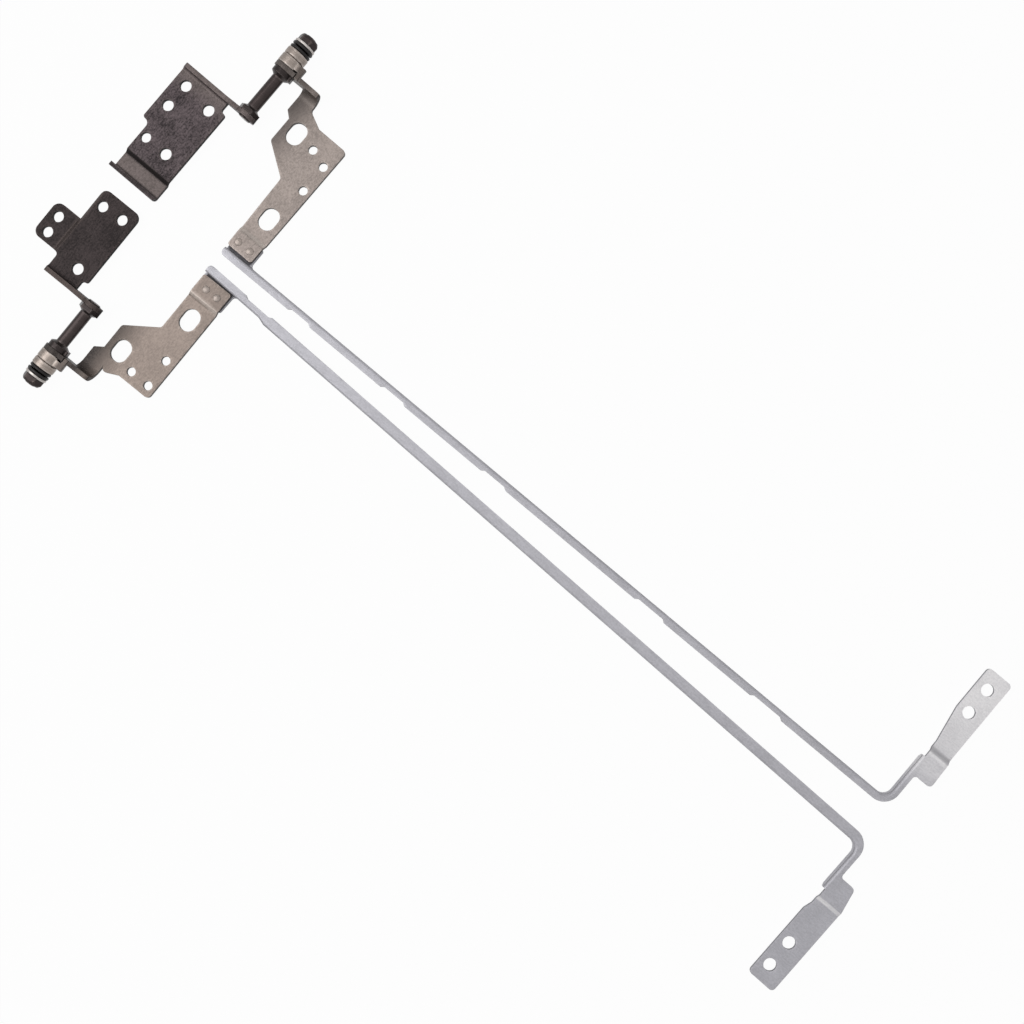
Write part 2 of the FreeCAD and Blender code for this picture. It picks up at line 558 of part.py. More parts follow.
def make_strap(hinge):
    body = hinge.body("strap")
    outer = "0 - strap_offset"
    inner = "strap_width - strap_offset"
    under = "strap_height - strap_thickness"
    neck_right = "neck_x + neck_width"
    foot_left, foot_right = "neck_x - foot_left", "neck_x + foot_right"
    leg_end = "leg_end - strap_offset"
    waist_left = "neck_x + waist_in"
    widens = "foot_width_start - strap_offset"
    foot_end = "foot_end - strap_offset"
    joggle = "foot_joggle - strap_offset"

    # The left strap is narrower up to a gap in its upright leg.
    stepped = hinge.side == "left"
    near_inner = "near_width - strap_offset" if stepped else inner
    leg_start = "leg_gap_start + leg_gap_length" if stepped else "strap_start"
    step = []
    if stepped:
        step = [
            ("leg_gap_start + joggle_run * 2", inner, "tab_blend"),
            ("leg_gap_start", near_inner, "tab_blend"),
        ]
    flange = new_sketch(hinge, body, "XY_Plane")
    add_outline(hinge, flange, [
        ("strap_start", outer, "foot_corner"),
        (neck_right, outer, "corner_outside"),
        (neck_right, widens, "foot_blend"),
        ("neck_x + foot_start_right", widens, "foot_corner"),
        (foot_right, f"{joggle} + joggle_run"),
        (foot_right, foot_end, "foot_corner"),
        (foot_left, foot_end, "foot_corner"),
        (foot_left, f"{leg_end} + waist_length + waist_flare"),
        (waist_left, f"{leg_end} + waist_length"),
        (waist_left, leg_end),
        ("neck_x", leg_end),
        ("neck_x", inner, "corner_inside"),
        *step,
        ("strap_start", near_inner),
    ])
    pad(hinge, body, flange, "strap_height")
    cut_joggle(hinge, body, "YZ_Plane", "strap_thickness", "strap_height", [
        (f"{outer} - cut_margin", under),
        (joggle, under),
        (f"{joggle} + joggle_run", f"{under} - foot_drop"),
        (f"{foot_end} + cut_margin", f"{under} - foot_drop"),
    ])

    # The upright leg follows the inside of the rail round the corner.
    leg = new_sketch(hinge, body, "XY_Plane")
    add_outline(hinge, leg, [
        (leg_start, f"{inner} - strap_thickness"),
        ("neck_x + strap_thickness", f"{inner} - strap_thickness", "corner_inside + strap_thickness"),
        ("neck_x + strap_thickness", leg_end),
        ("neck_x", leg_end),
        ("neck_x", inner, "corner_inside"),
        (leg_start, inner),
    ])
    if stepped:
        add_outline(hinge, leg, [
            ("strap_start", f"{near_inner} - strap_thickness"),
            ("leg_gap_start", f"{near_inner} - strap_thickness"),
            ("leg_gap_start", near_inner),
            ("strap_start", near_inner),
        ])
    pad(hinge, body, leg, under)

    # The tab turns out from the foot of the leg and lies under the lid bracket.
    tab_right = "lid_end_right + tab_over"
    tab_root, tab_end = f"{near_inner} - strap_thickness", "lid_rivet_reach - tab_room"
    tab = new_sketch(hinge, body, "XY_Plane")
    add_outline(hinge, tab, [
        ("strap_start", tab_root),
        (f"{tab_right} + tab_blend + strap_thickness", tab_root),
        (f"{tab_right} + tab_blend + strap_thickness", near_inner),
        (tab_right, near_inner, "tab_blend"),
        (tab_right, tab_end, "tab_corner"),
        ("strap_start", tab_end),
    ])
    pad(hinge, body, tab, "strap_thickness")

    cuts = new_sketch(hinge, body, "XY_Plane")
    for up in ("foot_hole_up", "foot_hole_up + foot_hole_spacing"):
        add_circle(hinge, cuts, f"{foot_left} + foot_hole_in", f"{foot_end} - ({up})", "foot_hole / 2")
    for along in ("rivet_x", "rivet_x + rivet_spacing"):
        add_circle(hinge, cuts, along, "rivet_up", "rivet_radius + strap_rivet_play")
    for letter, _ in zip(LETTERS, STRAP_DENTS[hinge.side]):
        start, length = f"dent_{letter}_start", f"dent_{letter}_length"
        add_outline(hinge, cuts, [
            (start, f"{outer} - cut_margin"),
            (f"{start} + {length}", f"{outer} - cut_margin"),
            (f"{start} + {length}", outer),
            (f"{start} + {length} - dent_run", f"{outer} + dent_depth"),
            (f"{start} + dent_run", f"{outer} + dent_depth"),
            (start, outer),
        ])
    cut_through(body, cuts)

    top, leg_stop, neck = (hinge.value(size) for size in ("strap_height", leg_end, "neck_x"))
    low, high = hinge.value(near_inner) - CLOSE, hinge.value(inner) + CLOSE
    soften(hinge, body, "strap_bend", lambda box: lies(box, z=top) and (
        lies(box, x=neck) or low < box.YMin and box.YMax < high))
    soften(hinge, body, "leg_slope", lambda box: lies(box, y=leg_stop, z=0), "Chamfer", "Size")
    hinge.keep("strap", body)


def make_strap_rivets(hinge):
    body = hinge.body("strap_rivets")
    seat = "strap_thickness + lid_thickness"
    spots = ("rivet_x", "rivet_x + rivet_spacing")
    shanks = new_sketch(hinge, body, "XY_Plane")
    heads = new_sketch(hinge, body, "XY_Plane", ("0", "0", seat))
    for along in spots:
        add_circle(hinge, shanks, along, "rivet_up", "rivet_radius")
        add_circle(hinge, heads, along, "rivet_up", "rivet_head")
    pad(hinge, body, shanks, seat)
    pad(hinge, body, heads, "rivet_head_height")
    crown = hinge.value(f"{seat} + rivet_head_height")
    soften(hinge, body, "rivet_chamfer", lambda box: lies(box, z=crown), "Chamfer", "Size")
    hinge.keep("strap_rivets", body)


# Base brackets: a raised plate with an upright flange that runs on to the ear

FLANGE_Y = "ear_y - ear_gap - base_thickness"
PLATE_TOP = "base_step + base_thickness"


def add_flange_and_ear(hinge, body):
    face = ("0", "0", "0 - (ear_y - ear_gap)")
    top = f"{PLATE_TOP} + base_flange_rise"
    flange = new_sketch(hinge, body, "XZ_Plane", face)
    add_outline(hinge, flange, [
        ("0 - base_left", "base_step"),
        ("0", "base_step"),
        ("0", "axis_height + base_arm_rise"),
        ("0 - base_arm_run", top),
        ("0 - base_left", top, "base_flange_corner"),
    ])
    pad(hinge, body, flange, "base_thickness")
    eye = new_sketch(hinge, body, "XZ_Plane", face)
    add_circle(hinge, eye, "0", "axis_height", "base_eye_radius")
    pad(hinge, body, eye, "base_thickness")
    bore = new_sketch(hinge, body, "XZ_Plane")
    add_circle(hinge, bore, "0", "axis_height", "tenon_radius + key_play")
    cut_through(body, bore)
    holes = new_sketch(hinge, body, "XY_Plane")
    for letter, _ in zip(LETTERS, BASE_HOLES[hinge.side]):
        hole = f"base_hole_{letter}"
        add_circle(hinge, holes, f"0 - {hole}_out", f"{FLANGE_Y} - {hole}_drop", f"{hole}_bore / 2")
    cut_through(body, holes)
    fold, outside = hinge.value(FLANGE_Y), hinge.value(f"{FLANGE_Y} + base_thickness")
    plate_top, plate_under = hinge.value(PLATE_TOP), hinge.value("base_step")
    relief = hinge.value("0 - base_relief")
    soften(hinge, body, "base_bend", lambda box: lies(box, y=fold, z=plate_top))
    soften(hinge, body, "base_fold",
           lambda box: lies(box, y=outside, z=plate_under) and box.XMin < relief)


def make_right_base(hinge):
    body = hinge.body("base_bracket")
    end = f"{FLANGE_Y} - base_length"
    step = f"{FLANGE_Y} - low_end_drop"
    relief = f"{FLANGE_Y} - base_relief_drop"
    plan = new_sketch(hinge, body, "XY_Plane")
    add_outline(hinge, plan, [
        ("0 - low_end_left", end),
        ("0 - base_right", end, "strip_corner"),
        ("0 - base_right", relief, "base_relief_corner"),
        ("0 - base_relief", relief, "base_relief_corner"),
        ("0 - base_relief", f"{FLANGE_Y} + base_thickness"),
        ("0 - base_left", f"{FLANGE_Y} + base_thickness"),
        ("0 - base_left", step, "low_end_corner"),
        ("0 - low_end_left", step, "low_end_blend"),
    ])
    pad(hinge, body, plan, PLATE_TOP)
    strip = f"{FLANGE_Y} - strip_drop"
    cut_joggle(hinge, body, "YZ_Plane", "base_thickness", PLATE_TOP, [
        (f"{end} - cut_margin", "0"),
        (f"{strip} - joggle_run", "0"),
        (strip, "base_step"),
        (f"{FLANGE_Y} + base_thickness + cut_margin", "base_step"),
    ])

    # A low lip stands at the end of the strip and reaches out past its far edge.
    lip = new_sketch(hinge, body, "XY_Plane")
    add_outline(hinge, lip, [
        ("0 - low_end_left - lip_over", end),
        ("0 - base_right", end, "strip_corner"),
        ("0 - base_right", f"{end} + lip_thickness"),
        ("0 - low_end_left - lip_over", f"{end} + lip_thickness"),
    ])
    pad(hinge, body, lip, "base_thickness + lip_rise")
    add_flange_and_ear(hinge, body)
    hinge.keep("base_bracket", body)


def make_left_base(hinge):
    body = hinge.body("base_bracket")
    end = f"{FLANGE_Y} - base_length"
    near_edge, far_edge = f"{FLANGE_Y} - side_tab_near", f"{FLANGE_Y} - side_tab_far"
    relief = f"{FLANGE_Y} - base_relief_drop"
    plan = new_sketch(hinge, body, "XY_Plane")
    add_outline(hinge, plan, [
        ("0 - plate_left", end, "plate_corner"),
        ("0 - base_right", end, "plate_corner"),
        ("0 - base_right", relief, "base_relief_corner"),
        ("0 - base_relief", relief, "base_relief_corner"),
        ("0 - base_relief", f"{FLANGE_Y} + base_thickness"),
        ("0 - base_left", f"{FLANGE_Y} + base_thickness"),
        ("0 - base_left", near_edge, "side_tab_blend"),
        ("0 - side_tab_left", near_edge, "plate_corner"),
        ("0 - side_tab_left", far_edge, "plate_corner"),
        ("0 - plate_left", far_edge),
    ])
    pad(hinge, body, plan, PLATE_TOP)
    fold = "0 - plate_left + side_tab_joggle"
    cut_joggle(hinge, body, "XZ_Plane", "base_thickness", PLATE_TOP, [
        ("0 - side_tab_left - cut_margin", "0"),
        (f"{fold} - joggle_run", "0"),
        (fold, "base_step"),
        ("cut_margin", "base_step"),
    ])
    add_flange_and_ear(hinge, body)
    hinge.keep("base_bracket", body)


# Turned pieces: a profile of (radius, distance outwards from the inside of the lid ear)

AXIS = ("0", "ear_y", "axis_height")
TABBED_AT = "lid_thickness"
PRESSURE_AT = f"{TABBED_AT} + tabbed_length"
SPRINGS_AT = f"{PRESSURE_AT} + pressure_length"
WASHER_AT = f"{SPRINGS_AT} + 2 * spring_sheet + 2 * spring_dish + spring_play"
NUT_AT = f"{WASHER_AT} + washer_length"
SHAFT_END = f"{NUT_AT} + nut_length + thread_end"


def add_profile(hinge, body, corners, kind="PartDesign::Revolution"):
    sketch = new_sketch(hinge, body, "XY_Plane", AXIS)
    add_outline(hinge, sketch, corners)
    return revolve(body, sketch, kind)


def across_axis(hinge, body, at):
    """A sketch square to the axis, centred on it, whose pads run towards the base ear."""
    return new_sketch(hinge, body, "XZ_Plane", ("0", "axis_height", f"0 - (ear_y + {at})"))


def add_hexagon(hinge, sketch, flats):
    half, corner = f"{flats} / 2", f"{flats} / 2 * {HEX_CORNER}"
    add_outline(hinge, sketch, [
        (f"0 - {corner}", "0"), (f"0 - {corner} / 2", f"0 - {half}"), (f"{corner} / 2", f"0 - {half}"),
        (corner, "0"), (f"{corner} / 2", half), (f"0 - {corner} / 2", half),
    ])


def make_shaft(hinge):
    body = hinge.body("shaft")
    ear = "0 - ear_gap"
    outside = f"{ear} - base_thickness"
    hex_end = f"{ear} + hex_length"
    add_profile(hinge, body, [
        ("0", f"{outside} - peen_height"),
        ("peen_radius - peen_height / 2", f"{outside} - peen_height"),
        ("peen_radius", f"{outside} - peen_height / 2"),
        ("peen_radius", outside),
        ("tenon_radius", outside),
        ("tenon_radius", ear),
        ("hex_flats / 2", ear),
        ("hex_flats / 2", hex_end),
        ("shaft_radius", f"{hex_end} + hex_cone"),
        ("shaft_radius", "0 - collar_length - collar_cone"),
        ("collar_radius", "0 - collar_length"),
        ("collar_radius", "0"),
        ("journal_radius", "0"),
        ("journal_radius", f"{SHAFT_END} - thread_chamfer"),
        ("journal_radius - thread_chamfer", SHAFT_END),
        ("0", SHAFT_END),
    ])
    hexagon = across_axis(hinge, body, hex_end)
    add_hexagon(hinge, hexagon, "hex_flats")
    pad(hinge, body, hexagon, "hex_length")
    lug = across_axis(hinge, body, "0")
    add_outline(hinge, lug, [
        ("journal_radius", "0 - lug_width / 2"), ("lug_reach", "0 - lug_width / 2", "ring_edge"),
        ("lug_reach", "lug_width / 2", "ring_edge"), ("journal_radius", "lug_width / 2"),
    ])
    pad(hinge, body, lug, "collar_length")

    # Two flats key the rings and the end washer to the shaft.
    flats = across_axis(hinge, body, SHAFT_END)
    reach = "journal_radius + cut_margin"
    for level, far in (("key_flats / 2", reach), ("0 - key_flats / 2", f"0 - ({reach})")):
        loop = [(f"0 - ({reach})", level), (reach, level), (reach, far), (f"0 - ({reach})", far)]
        add_outline(hinge, flats, loop)
    before = body.Shape.Volume
    feature = body.newObject("PartDesign::Pocket", "shaft_flats")
    feature.Profile = flats
    feature.Reversed = True
    feature.setExpression("Length", hinge.cells(f"{SHAFT_END} - ({PRESSURE_AT})"))
    doc.recompute()
    if body.Shape.Volume >= before:
        raise RuntimeError("the shaft has no flats")
    hinge.keep("shaft", body)


def ring_profile(bore, radius, edge, at, length):
    end = f"{at} + {length}"
    return [
        (bore, at), (f"{radius} - {edge}", at), (radius, f"{at} + {edge}"),
        (radius, f"{end} - {edge}"), (f"{radius} - {edge}", end), (bore, end),
    ]


def make_tabbed_washer(hinge):
    body = hinge.body("tabbed_washer")
    bore = "journal_radius + running_play"
    add_profile(hinge, body, ring_profile(bore, "ring_radius", "ring_edge", TABBED_AT, "tabbed_length"))

    # The tab stands out beside the ring, and its hook drops back into the notch of the lid ear.
    low, high = "lid_eye_radius / 2 - hook_height / 2", "lid_eye_radius / 2 + hook_height / 2"
    hook_far = "hook_near + hook_width"
    tab_end = f"{TABBED_AT} + tab_gap + tab_length"
    tab = across_axis(hinge, body, tab_end)
    add_outline(hinge, tab, [
        ("journal_radius + ring_edge * 2", low), (hook_far, low), (hook_far, high),
        ("journal_radius + ring_edge * 2", high),
    ])
    pad(hinge, body, tab, "tab_length")
    hook = across_axis(hinge, body, tab_end)
    add_outline(hinge, hook, [("hook_near", low), (hook_far, low), (hook_far, high), ("hook_near", high)])
    pad(hinge, body, hook, tab_end)
    hinge.keep("tabbed_washer", body)


def make_keyed_ring(hinge, name, profile, at, length):
    """A turned disc with a bore that has two flats."""
    body = hinge.body(name)
    add_profile(hinge, body, profile)
    key = across_axis(hinge, body, f"{at} + {length}")
    half = "key_flats / 2 + key_play"
    reach = "journal_radius + ring_edge * 2"
    for low, high in ((half, reach), (f"0 - ({reach})", f"0 - ({half})")):
        loop = [(f"0 - ({reach})", low), (reach, low), (reach, high), (f"0 - ({reach})", high)]
        add_outline(hinge, key, loop)
    pad(hinge, body, key, length)
    hinge.keep(name, body)


def make_stack(hinge):
    keyed_bore = "journal_radius + key_play"
    make_keyed_ring(hinge, "pressure_ring", ring_profile(
        keyed_bore, "ring_radius", "ring_edge", PRESSURE_AT, "pressure_length"), PRESSURE_AT, "pressure_length")
    make_keyed_ring(hinge, "end_washer", ring_profile(
        keyed_bore, "washer_radius", "washer_edge", WASHER_AT, "washer_length"), WASHER_AT, "washer_length")

    # Two dished springs stand rim to rim.
    springs = hinge.body("disc_springs")
    bore = "journal_radius + running_play"
    add_profile(hinge, springs, [
        (bore, SPRINGS_AT),
        ("spring_radius", f"{SPRINGS_AT} + spring_dish"),
        ("spring_radius", f"{SPRINGS_AT} + spring_dish + spring_sheet"),
        (bore, f"{SPRINGS_AT} + spring_sheet"),
    ])
    add_profile(hinge, springs, [
        (bore, f"{WASHER_AT} - spring_sheet"),
        ("spring_radius", f"{WASHER_AT} - spring_dish - spring_sheet"),
        ("spring_radius", f"{WASHER_AT} - spring_dish"),
        (bore, WASHER_AT),
    ])
    hinge.keep("disc_springs", springs)


def make_nut(hinge):
    body = hinge.body("nut")
    end = f"{NUT_AT} + nut_length"
    block = across_axis(hinge, body, end)
    add_hexagon(hinge, block, "nut_flats")
    add_circle(hinge, block, "0", "0", "journal_radius + key_play")
    pad(hinge, body, block, "nut_length")
    corner = f"nut_flats / 2 * {HEX_CORNER}"
    add_profile(hinge, body, [
        ("nut_crown", end),
        (f"{corner} + ring_edge", f"{end} - nut_taper"),
        (f"{corner} + cut_margin", f"{end} - nut_taper"),
        (f"{corner} + cut_margin", f"{end} + cut_margin"),
        ("nut_crown", f"{end} + cut_margin"),
    ], "PartDesign::Groove")
    hinge.keep("nut", body)


def build():
    for side in SIDES:
        hinge = Hinge(side)
        if side == "right":
            make_right_base(hinge)
        else:
            make_left_base(hinge)
        make_shaft(hinge)
        make_lid_bracket(hinge)
        make_strap(hinge)
        make_strap_rivets(hinge)
        make_tabbed_washer(hinge)
        make_stack(hinge)
        make_nut(hinge)
    doc.recompute()


def place():
    """Lays both hinges on the table and puts the origin under the middle of the pair."""
    stands = {}
    for side in SIDES:
        hinge = Hinge(side)
        corner = Vector(hinge.value("hinge_x"), hinge.value("hinge_y"), 0)
        stand = Placement(corner, Rotation(Vector(0, 0, 1), hinge.value("hinge_turn")))
        across = hinge.value("rivet_up") * (1 if side == "right" else -1)
        rivets = Vector(hinge.value("rivet_x + rivet_spacing / 2"), across, 0)
        swing = Placement(Vector(), Rotation(Vector(0, 0, 1), hinge.value("strap_turn")), rivets)
        for node in nodes:
            if node.startswith(side):
                stands[node] = stand * swing if node.endswith("_strap") else stand
    for node, piece in nodes.items():
        piece.Placement = stands[node]
    doc.recompute()
    box = FreeCAD.BoundBox()
    for piece in nodes.values():
        box.add(piece.Shape.optimalBoundingBox(False))
    centre = Vector(box.Center.x, box.Center.y, box.ZMin)
    for node, piece in nodes.items():
        piece.Placement = Placement(stands[node].Base - centre, stands[node].Rotation)
    doc.recompute()
    print("size of the pair", box.XLength, box.YLength, box.ZLength, "moved by", -centre)


def check_and_write():
    for thing in doc.Objects:
        if "Invalid" in thing.State or "Error" in thing.State:
            raise RuntimeError(f"{thing.Label} failed: {thing.State}")
    for node, piece in nodes.items():
        if piece.Shape.isNull() or not piece.Shape.isValid():
            raise RuntimeError(f"{node} has no sound shape")
    os.makedirs("parts", exist_ok=True)
    for node, piece in nodes.items():
        piece.Shape.exportStep(f"parts/{node}.step")
        print(node, len(piece.Shape.Solids), "solid", round(piece.Shape.Volume, 2), "mm3")


build()
place()
check_and_write()
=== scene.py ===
# %% [markdown]
# # A pair of laptop hinges
# Two friction hinges from a laptop lid lie open on white paper, a right one and a left one. The
# solids come from the CAD model as a fixed frame, in metres, and this lesson dresses them:
# softened sheet edges, domed rivets, dished springs and a finish for each metal.

# %% Load the frame
import json
import math

import bmesh
import bpy
from mathutils import Matrix, Vector
from mathutils.bvhtree import BVHTree
from mathutils.kdtree import KDTree

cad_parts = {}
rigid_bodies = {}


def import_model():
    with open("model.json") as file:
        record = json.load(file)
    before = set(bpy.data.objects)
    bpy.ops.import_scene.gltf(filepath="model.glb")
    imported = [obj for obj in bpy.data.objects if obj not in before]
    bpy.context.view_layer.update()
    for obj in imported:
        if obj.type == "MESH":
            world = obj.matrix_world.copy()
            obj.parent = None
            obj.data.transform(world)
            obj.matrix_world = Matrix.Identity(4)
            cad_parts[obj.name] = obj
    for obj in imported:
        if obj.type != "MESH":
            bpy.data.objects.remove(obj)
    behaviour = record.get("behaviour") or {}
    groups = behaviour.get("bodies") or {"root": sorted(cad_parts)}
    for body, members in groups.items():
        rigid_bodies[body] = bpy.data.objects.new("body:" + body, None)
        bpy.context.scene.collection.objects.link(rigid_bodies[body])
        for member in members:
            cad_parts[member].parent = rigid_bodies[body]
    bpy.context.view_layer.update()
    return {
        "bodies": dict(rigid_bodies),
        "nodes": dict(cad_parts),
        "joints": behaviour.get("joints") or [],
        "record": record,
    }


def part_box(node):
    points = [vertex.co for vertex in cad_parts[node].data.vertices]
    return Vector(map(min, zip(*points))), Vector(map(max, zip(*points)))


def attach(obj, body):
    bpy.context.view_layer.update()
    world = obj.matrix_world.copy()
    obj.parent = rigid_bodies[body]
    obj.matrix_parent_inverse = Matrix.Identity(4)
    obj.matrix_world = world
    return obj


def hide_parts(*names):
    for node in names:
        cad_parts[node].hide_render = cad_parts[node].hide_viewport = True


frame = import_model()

MM = 0.001
SIDES = ("right", "left")

# %% [markdown]
# ## The camera
# The photo looks straight down, with the pair lying across the picture on a slant. A turned
# object would give that too, but the frame stays put, so the camera turns about its own line of
# sight instead. Its height comes from how far the raised barrels lean away from the middle of the
# picture.

# %% Camera
VIEW_POINT = Vector((4.9033, -3.0484, 0.0)) * MM  # the spot under the lens
VIEW_HEIGHT = 325.0 * MM
HALF_FRAME = 127.7 * MM  # from the middle of the picture to its edge, on the paper
SLANT = math.radians(39.85)
NEAREST = 10.0 * MM

camera_data = bpy.data.cameras.new("photo_camera")
camera_data.sensor_fit = "HORIZONTAL"
camera_data.angle = 2.0 * math.atan(HALF_FRAME / VIEW_HEIGHT)
camera_data.clip_start = NEAREST
camera = bpy.data.objects.new("photo_camera", camera_data)
camera.location = VIEW_POINT + Vector((0.0, 0.0, VIEW_HEIGHT))
camera.rotation_euler = (0.0, 0.0, SLANT)
bpy.context.scene.collection.objects.link(camera)
bpy.context.scene.camera = camera
bpy.context.scene.view_settings.view_transform = "Standard"
print("camera angle:", round(math.degrees(camera_data.angle), 2), "degrees")

# %% [markdown]
# ## Sums instead of wires
# A finish is a sum of grain, blotches and wear. Wiring each Math node by hand hides the idea, so
# one small class wraps a socket and lets `1 - mask * 0.3` add the nodes by itself.

# %% A socket that can do sums
class Value:
    """A socket's number. Arithmetic on it adds Math nodes to the tree."""

    def __init__(self, wiring, socket):
        self.wiring = wiring
        self.socket = socket

    def sum_with(self, operation, first, second):
        return self.wiring.add("ShaderNodeMath", {"operation": operation}, {0: first, 1: second})

    def __add__(self, other):
        return self.sum_with("ADD", self, other)

    def __radd__(self, other):
        return self.sum_with("ADD", other, self)

    def __sub__(self, other):
        return self.sum_with("SUBTRACT", self, other)

    def __rsub__(self, other):
        return self.sum_with("SUBTRACT", other, self)

    def __mul__(self, other):
        return self.sum_with("MULTIPLY", self, other)

    def __truediv__(self, other):
        return self.sum_with("DIVIDE", self, other)

    def __gt__(self, other):
        return self.sum_with("GREATER_THAN", self, other)

    def step(self, low, high):
        """0 below low, 1 above high and a smooth change between."""
        inputs = {"Value": self, "From Min": low, "From Max": high}
        return self.wiring.add("ShaderNodeMapRange", {"interpolation_type": "SMOOTHSTEP"}, inputs)


print("a socket can now do + - * / > and step")

# %% [markdown]
# ### A tree that grows
# Every node is made, set up and fed in the same few steps. Written out each time they would bury
# the finishes, so a second class holds a node tree and adds any node with a single method.
# Materials and Geometry Nodes both build on it.

# %% A tree that grows
NODE_ROW = 12  # nodes in a row of the node editor
NODE_WIDE, NODE_HIGH = 180.0, 260.0


class Wiring:
    """A node tree that grows by one node at a time."""

    def start(self, tree):
        self.tree = tree
        self.count = 0

    def find(self, node, key):
        """A socket by its number, its identifier or its name."""
        if isinstance(key, int):
            return node.inputs[key]
        for socket in node.inputs:
            if socket.identifier == key:
                return socket
        return node.inputs[key]

    def add(self, kind, settings, inputs, output=0):
        """Adds a node, sets it up, feeds its sockets, and gives back one output."""
        node = self.tree.nodes.new(kind)
        row, column = divmod(self.count, NODE_ROW)
        node.location = (NODE_WIDE * column, -NODE_HIGH * row)
        self.count += 1
        for setting, value in settings.items():
            setattr(node, setting, value)
        for key, value in inputs.items():
            if isinstance(value, Value):
                self.tree.links.new(value.socket, self.find(node, key))
            else:
                self.find(node, key).default_value = value
        return Value(self, node.outputs[output]) if node.outputs else None


print("a tree lays its nodes out in rows of", NODE_ROW)

# %% [markdown]
# ## Paper and light
# The pair lies on white paper under soft light from the left of the picture. A lit white floor
# always comes out a little grey, and more lamps would bleach the metal, so the paper adds its own
# white for the camera and for reflections only. A share of it still answers to the lamps, which
# keeps a soft shadow under each hinge.

# %% Paper
PAPER_SPAN = 3.0
PAPER_DROP = 0.02 * MM  # below the hinges, so that the two never flicker
PAPER_OWN_WHITE = 0.97
PAPER_TONE = (0.93, 0.93, 0.93, 1.0)
WHITE = (1.0, 1.0, 1.0, 1.0)
WHITE_RAYS = ("Is Camera Ray", "Is Glossy Ray", "Is Transmission Ray")


class Finish(Wiring):
    """One material, with the spot on the piece that its patterns hang on."""

    def __init__(self, name):
        self.material = bpy.data.materials.new(name)
        self.material.use_nodes = True
        self.material.node_tree.nodes.clear()
        self.start(self.material.node_tree)
        self.place = self.add("ShaderNodeTexCoord", {}, {}, "Object")


def sees_white(wiring):
    """1 for a ray that comes straight from the camera, off a shiny face or through glass."""
    eye, mirror, glass = (wiring.add("ShaderNodeLightPath", {}, {}, ray) for ray in WHITE_RAYS)
    return eye + mirror + glass


paper = Finish("white_paper")
glow = paper.add("ShaderNodeEmission", {}, {"Color": WHITE, "Strength": 1.0})
lit = paper.add("ShaderNodeBsdfDiffuse", {}, {"Color": PAPER_TONE})
share = sees_white(paper) * PAPER_OWN_WHITE
own = paper.add("ShaderNodeMixShader", {}, {0: share, 1: lit, 2: glow})
paper.add("ShaderNodeOutputMaterial", {}, {"Surface": own})

paper_mesh = bpy.data.meshes.new("paper")
half = PAPER_SPAN / 2.0
corners = [(-half, -half, 0.0), (half, -half, 0.0), (half, half, 0.0), (-half, half, 0.0)]
paper_mesh.from_pydata(corners, [], [(0, 1, 2, 3)])
paper_mesh.materials.append(paper.material)
paper_sheet = bpy.data.objects.new("paper", paper_mesh)
paper_sheet.location = (0.0, 0.0, -PAPER_DROP)
bpy.context.scene.collection.objects.link(paper_sheet)
print("paper:", PAPER_SPAN, "m across")

# %% [markdown]
# ### Lamps
# The photo's light is soft and comes mostly from one side, as from a window. A bright room alone
# would look flat, and one lamp alone would leave black shadows, so a dim room fills in and two
# softboxes give the metal its shape. What the camera and the metal see of the room is plain
# white, like the paper.

# %% Lamps
ROOM_LIGHT = 0.15
ROOM_TONE = (1.0, 0.99, 0.98, 1.0)

world = bpy.data.worlds.new("room")
world.use_nodes = True
world.node_tree.nodes.clear()
room = Wiring()
room.start(world.node_tree)
soft = room.add("ShaderNodeBackground", {}, {"Color": ROOM_TONE, "Strength": ROOM_LIGHT})
backdrop = room.add("ShaderNodeBackground", {}, {"Color": WHITE, "Strength": 1.0})
seen = room.add("ShaderNodeMixShader", {}, {0: sees_white(room), 1: soft, 2: backdrop})
room.add("ShaderNodeOutputWorld", {}, {"Surface": seen})
bpy.context.scene.world = world


def hang_softbox(name, place, size, brightness):
    """A square lamp that looks at the middle of the pair. Its power follows from its size."""
    data = bpy.data.lights.new(name, "AREA")
    data.shape = "SQUARE"
    data.size = size
    data.energy = brightness * math.pi * size * size
    lamp = bpy.data.objects.new(name, data)
    lamp.location = place
    lamp.rotation_euler = place.to_track_quat("Z", "Y").to_euler()
    bpy.context.scene.collection.objects.link(lamp)
    print("lamp:", name, round(data.energy, 2), "W")


hang_softbox("window_left", Vector((-0.46, -0.20, 0.66)), size=0.6, brightness=2.3)
hang_softbox("overhead", Vector((0.10, 0.0, 0.95)), size=0.9, brightness=0.25)

# %% [markdown]
# ## Marks on a piece
# Wear follows shape: corners rub bright, and press-cut walls are rough and dark, partly with
# painted shade. Nooks and some marked places get painted shade, other places painted light. A
# shader could guess that from curvature, but only in one renderer. Here the marks are measured once
# and painted on the mesh as plain numbers, so they go wherever the mesh goes. Only neighbours on
# the same moving body count, so each body gets a search tree of its own.

# %% A search tree for each body
BODY = {}
for body, members in frame["record"]["behaviour"]["bodies"].items():
    for member in members:
        BODY[member] = body


def body_surface(body):
    """The CAD faces of one body in one search tree. Low rivet heads cast no painted shade: left
    out.
    """
    spots, faces = [], []
    for node, owner in BODY.items():
        if owner == body and not node.endswith("rivets"):
            mesh = frame["nodes"][node].data
            first = len(spots)
            spots.extend(vert.co.copy() for vert in mesh.vertices)
            faces.extend([first + number for number in face.vertices] for face in mesh.polygons)
    return BVHTree.FromPolygons(spots, faces)


SURFACES = {body: body_surface(body) for body in frame["bodies"]}
print("bodies with a search tree:", sorted(SURFACES))
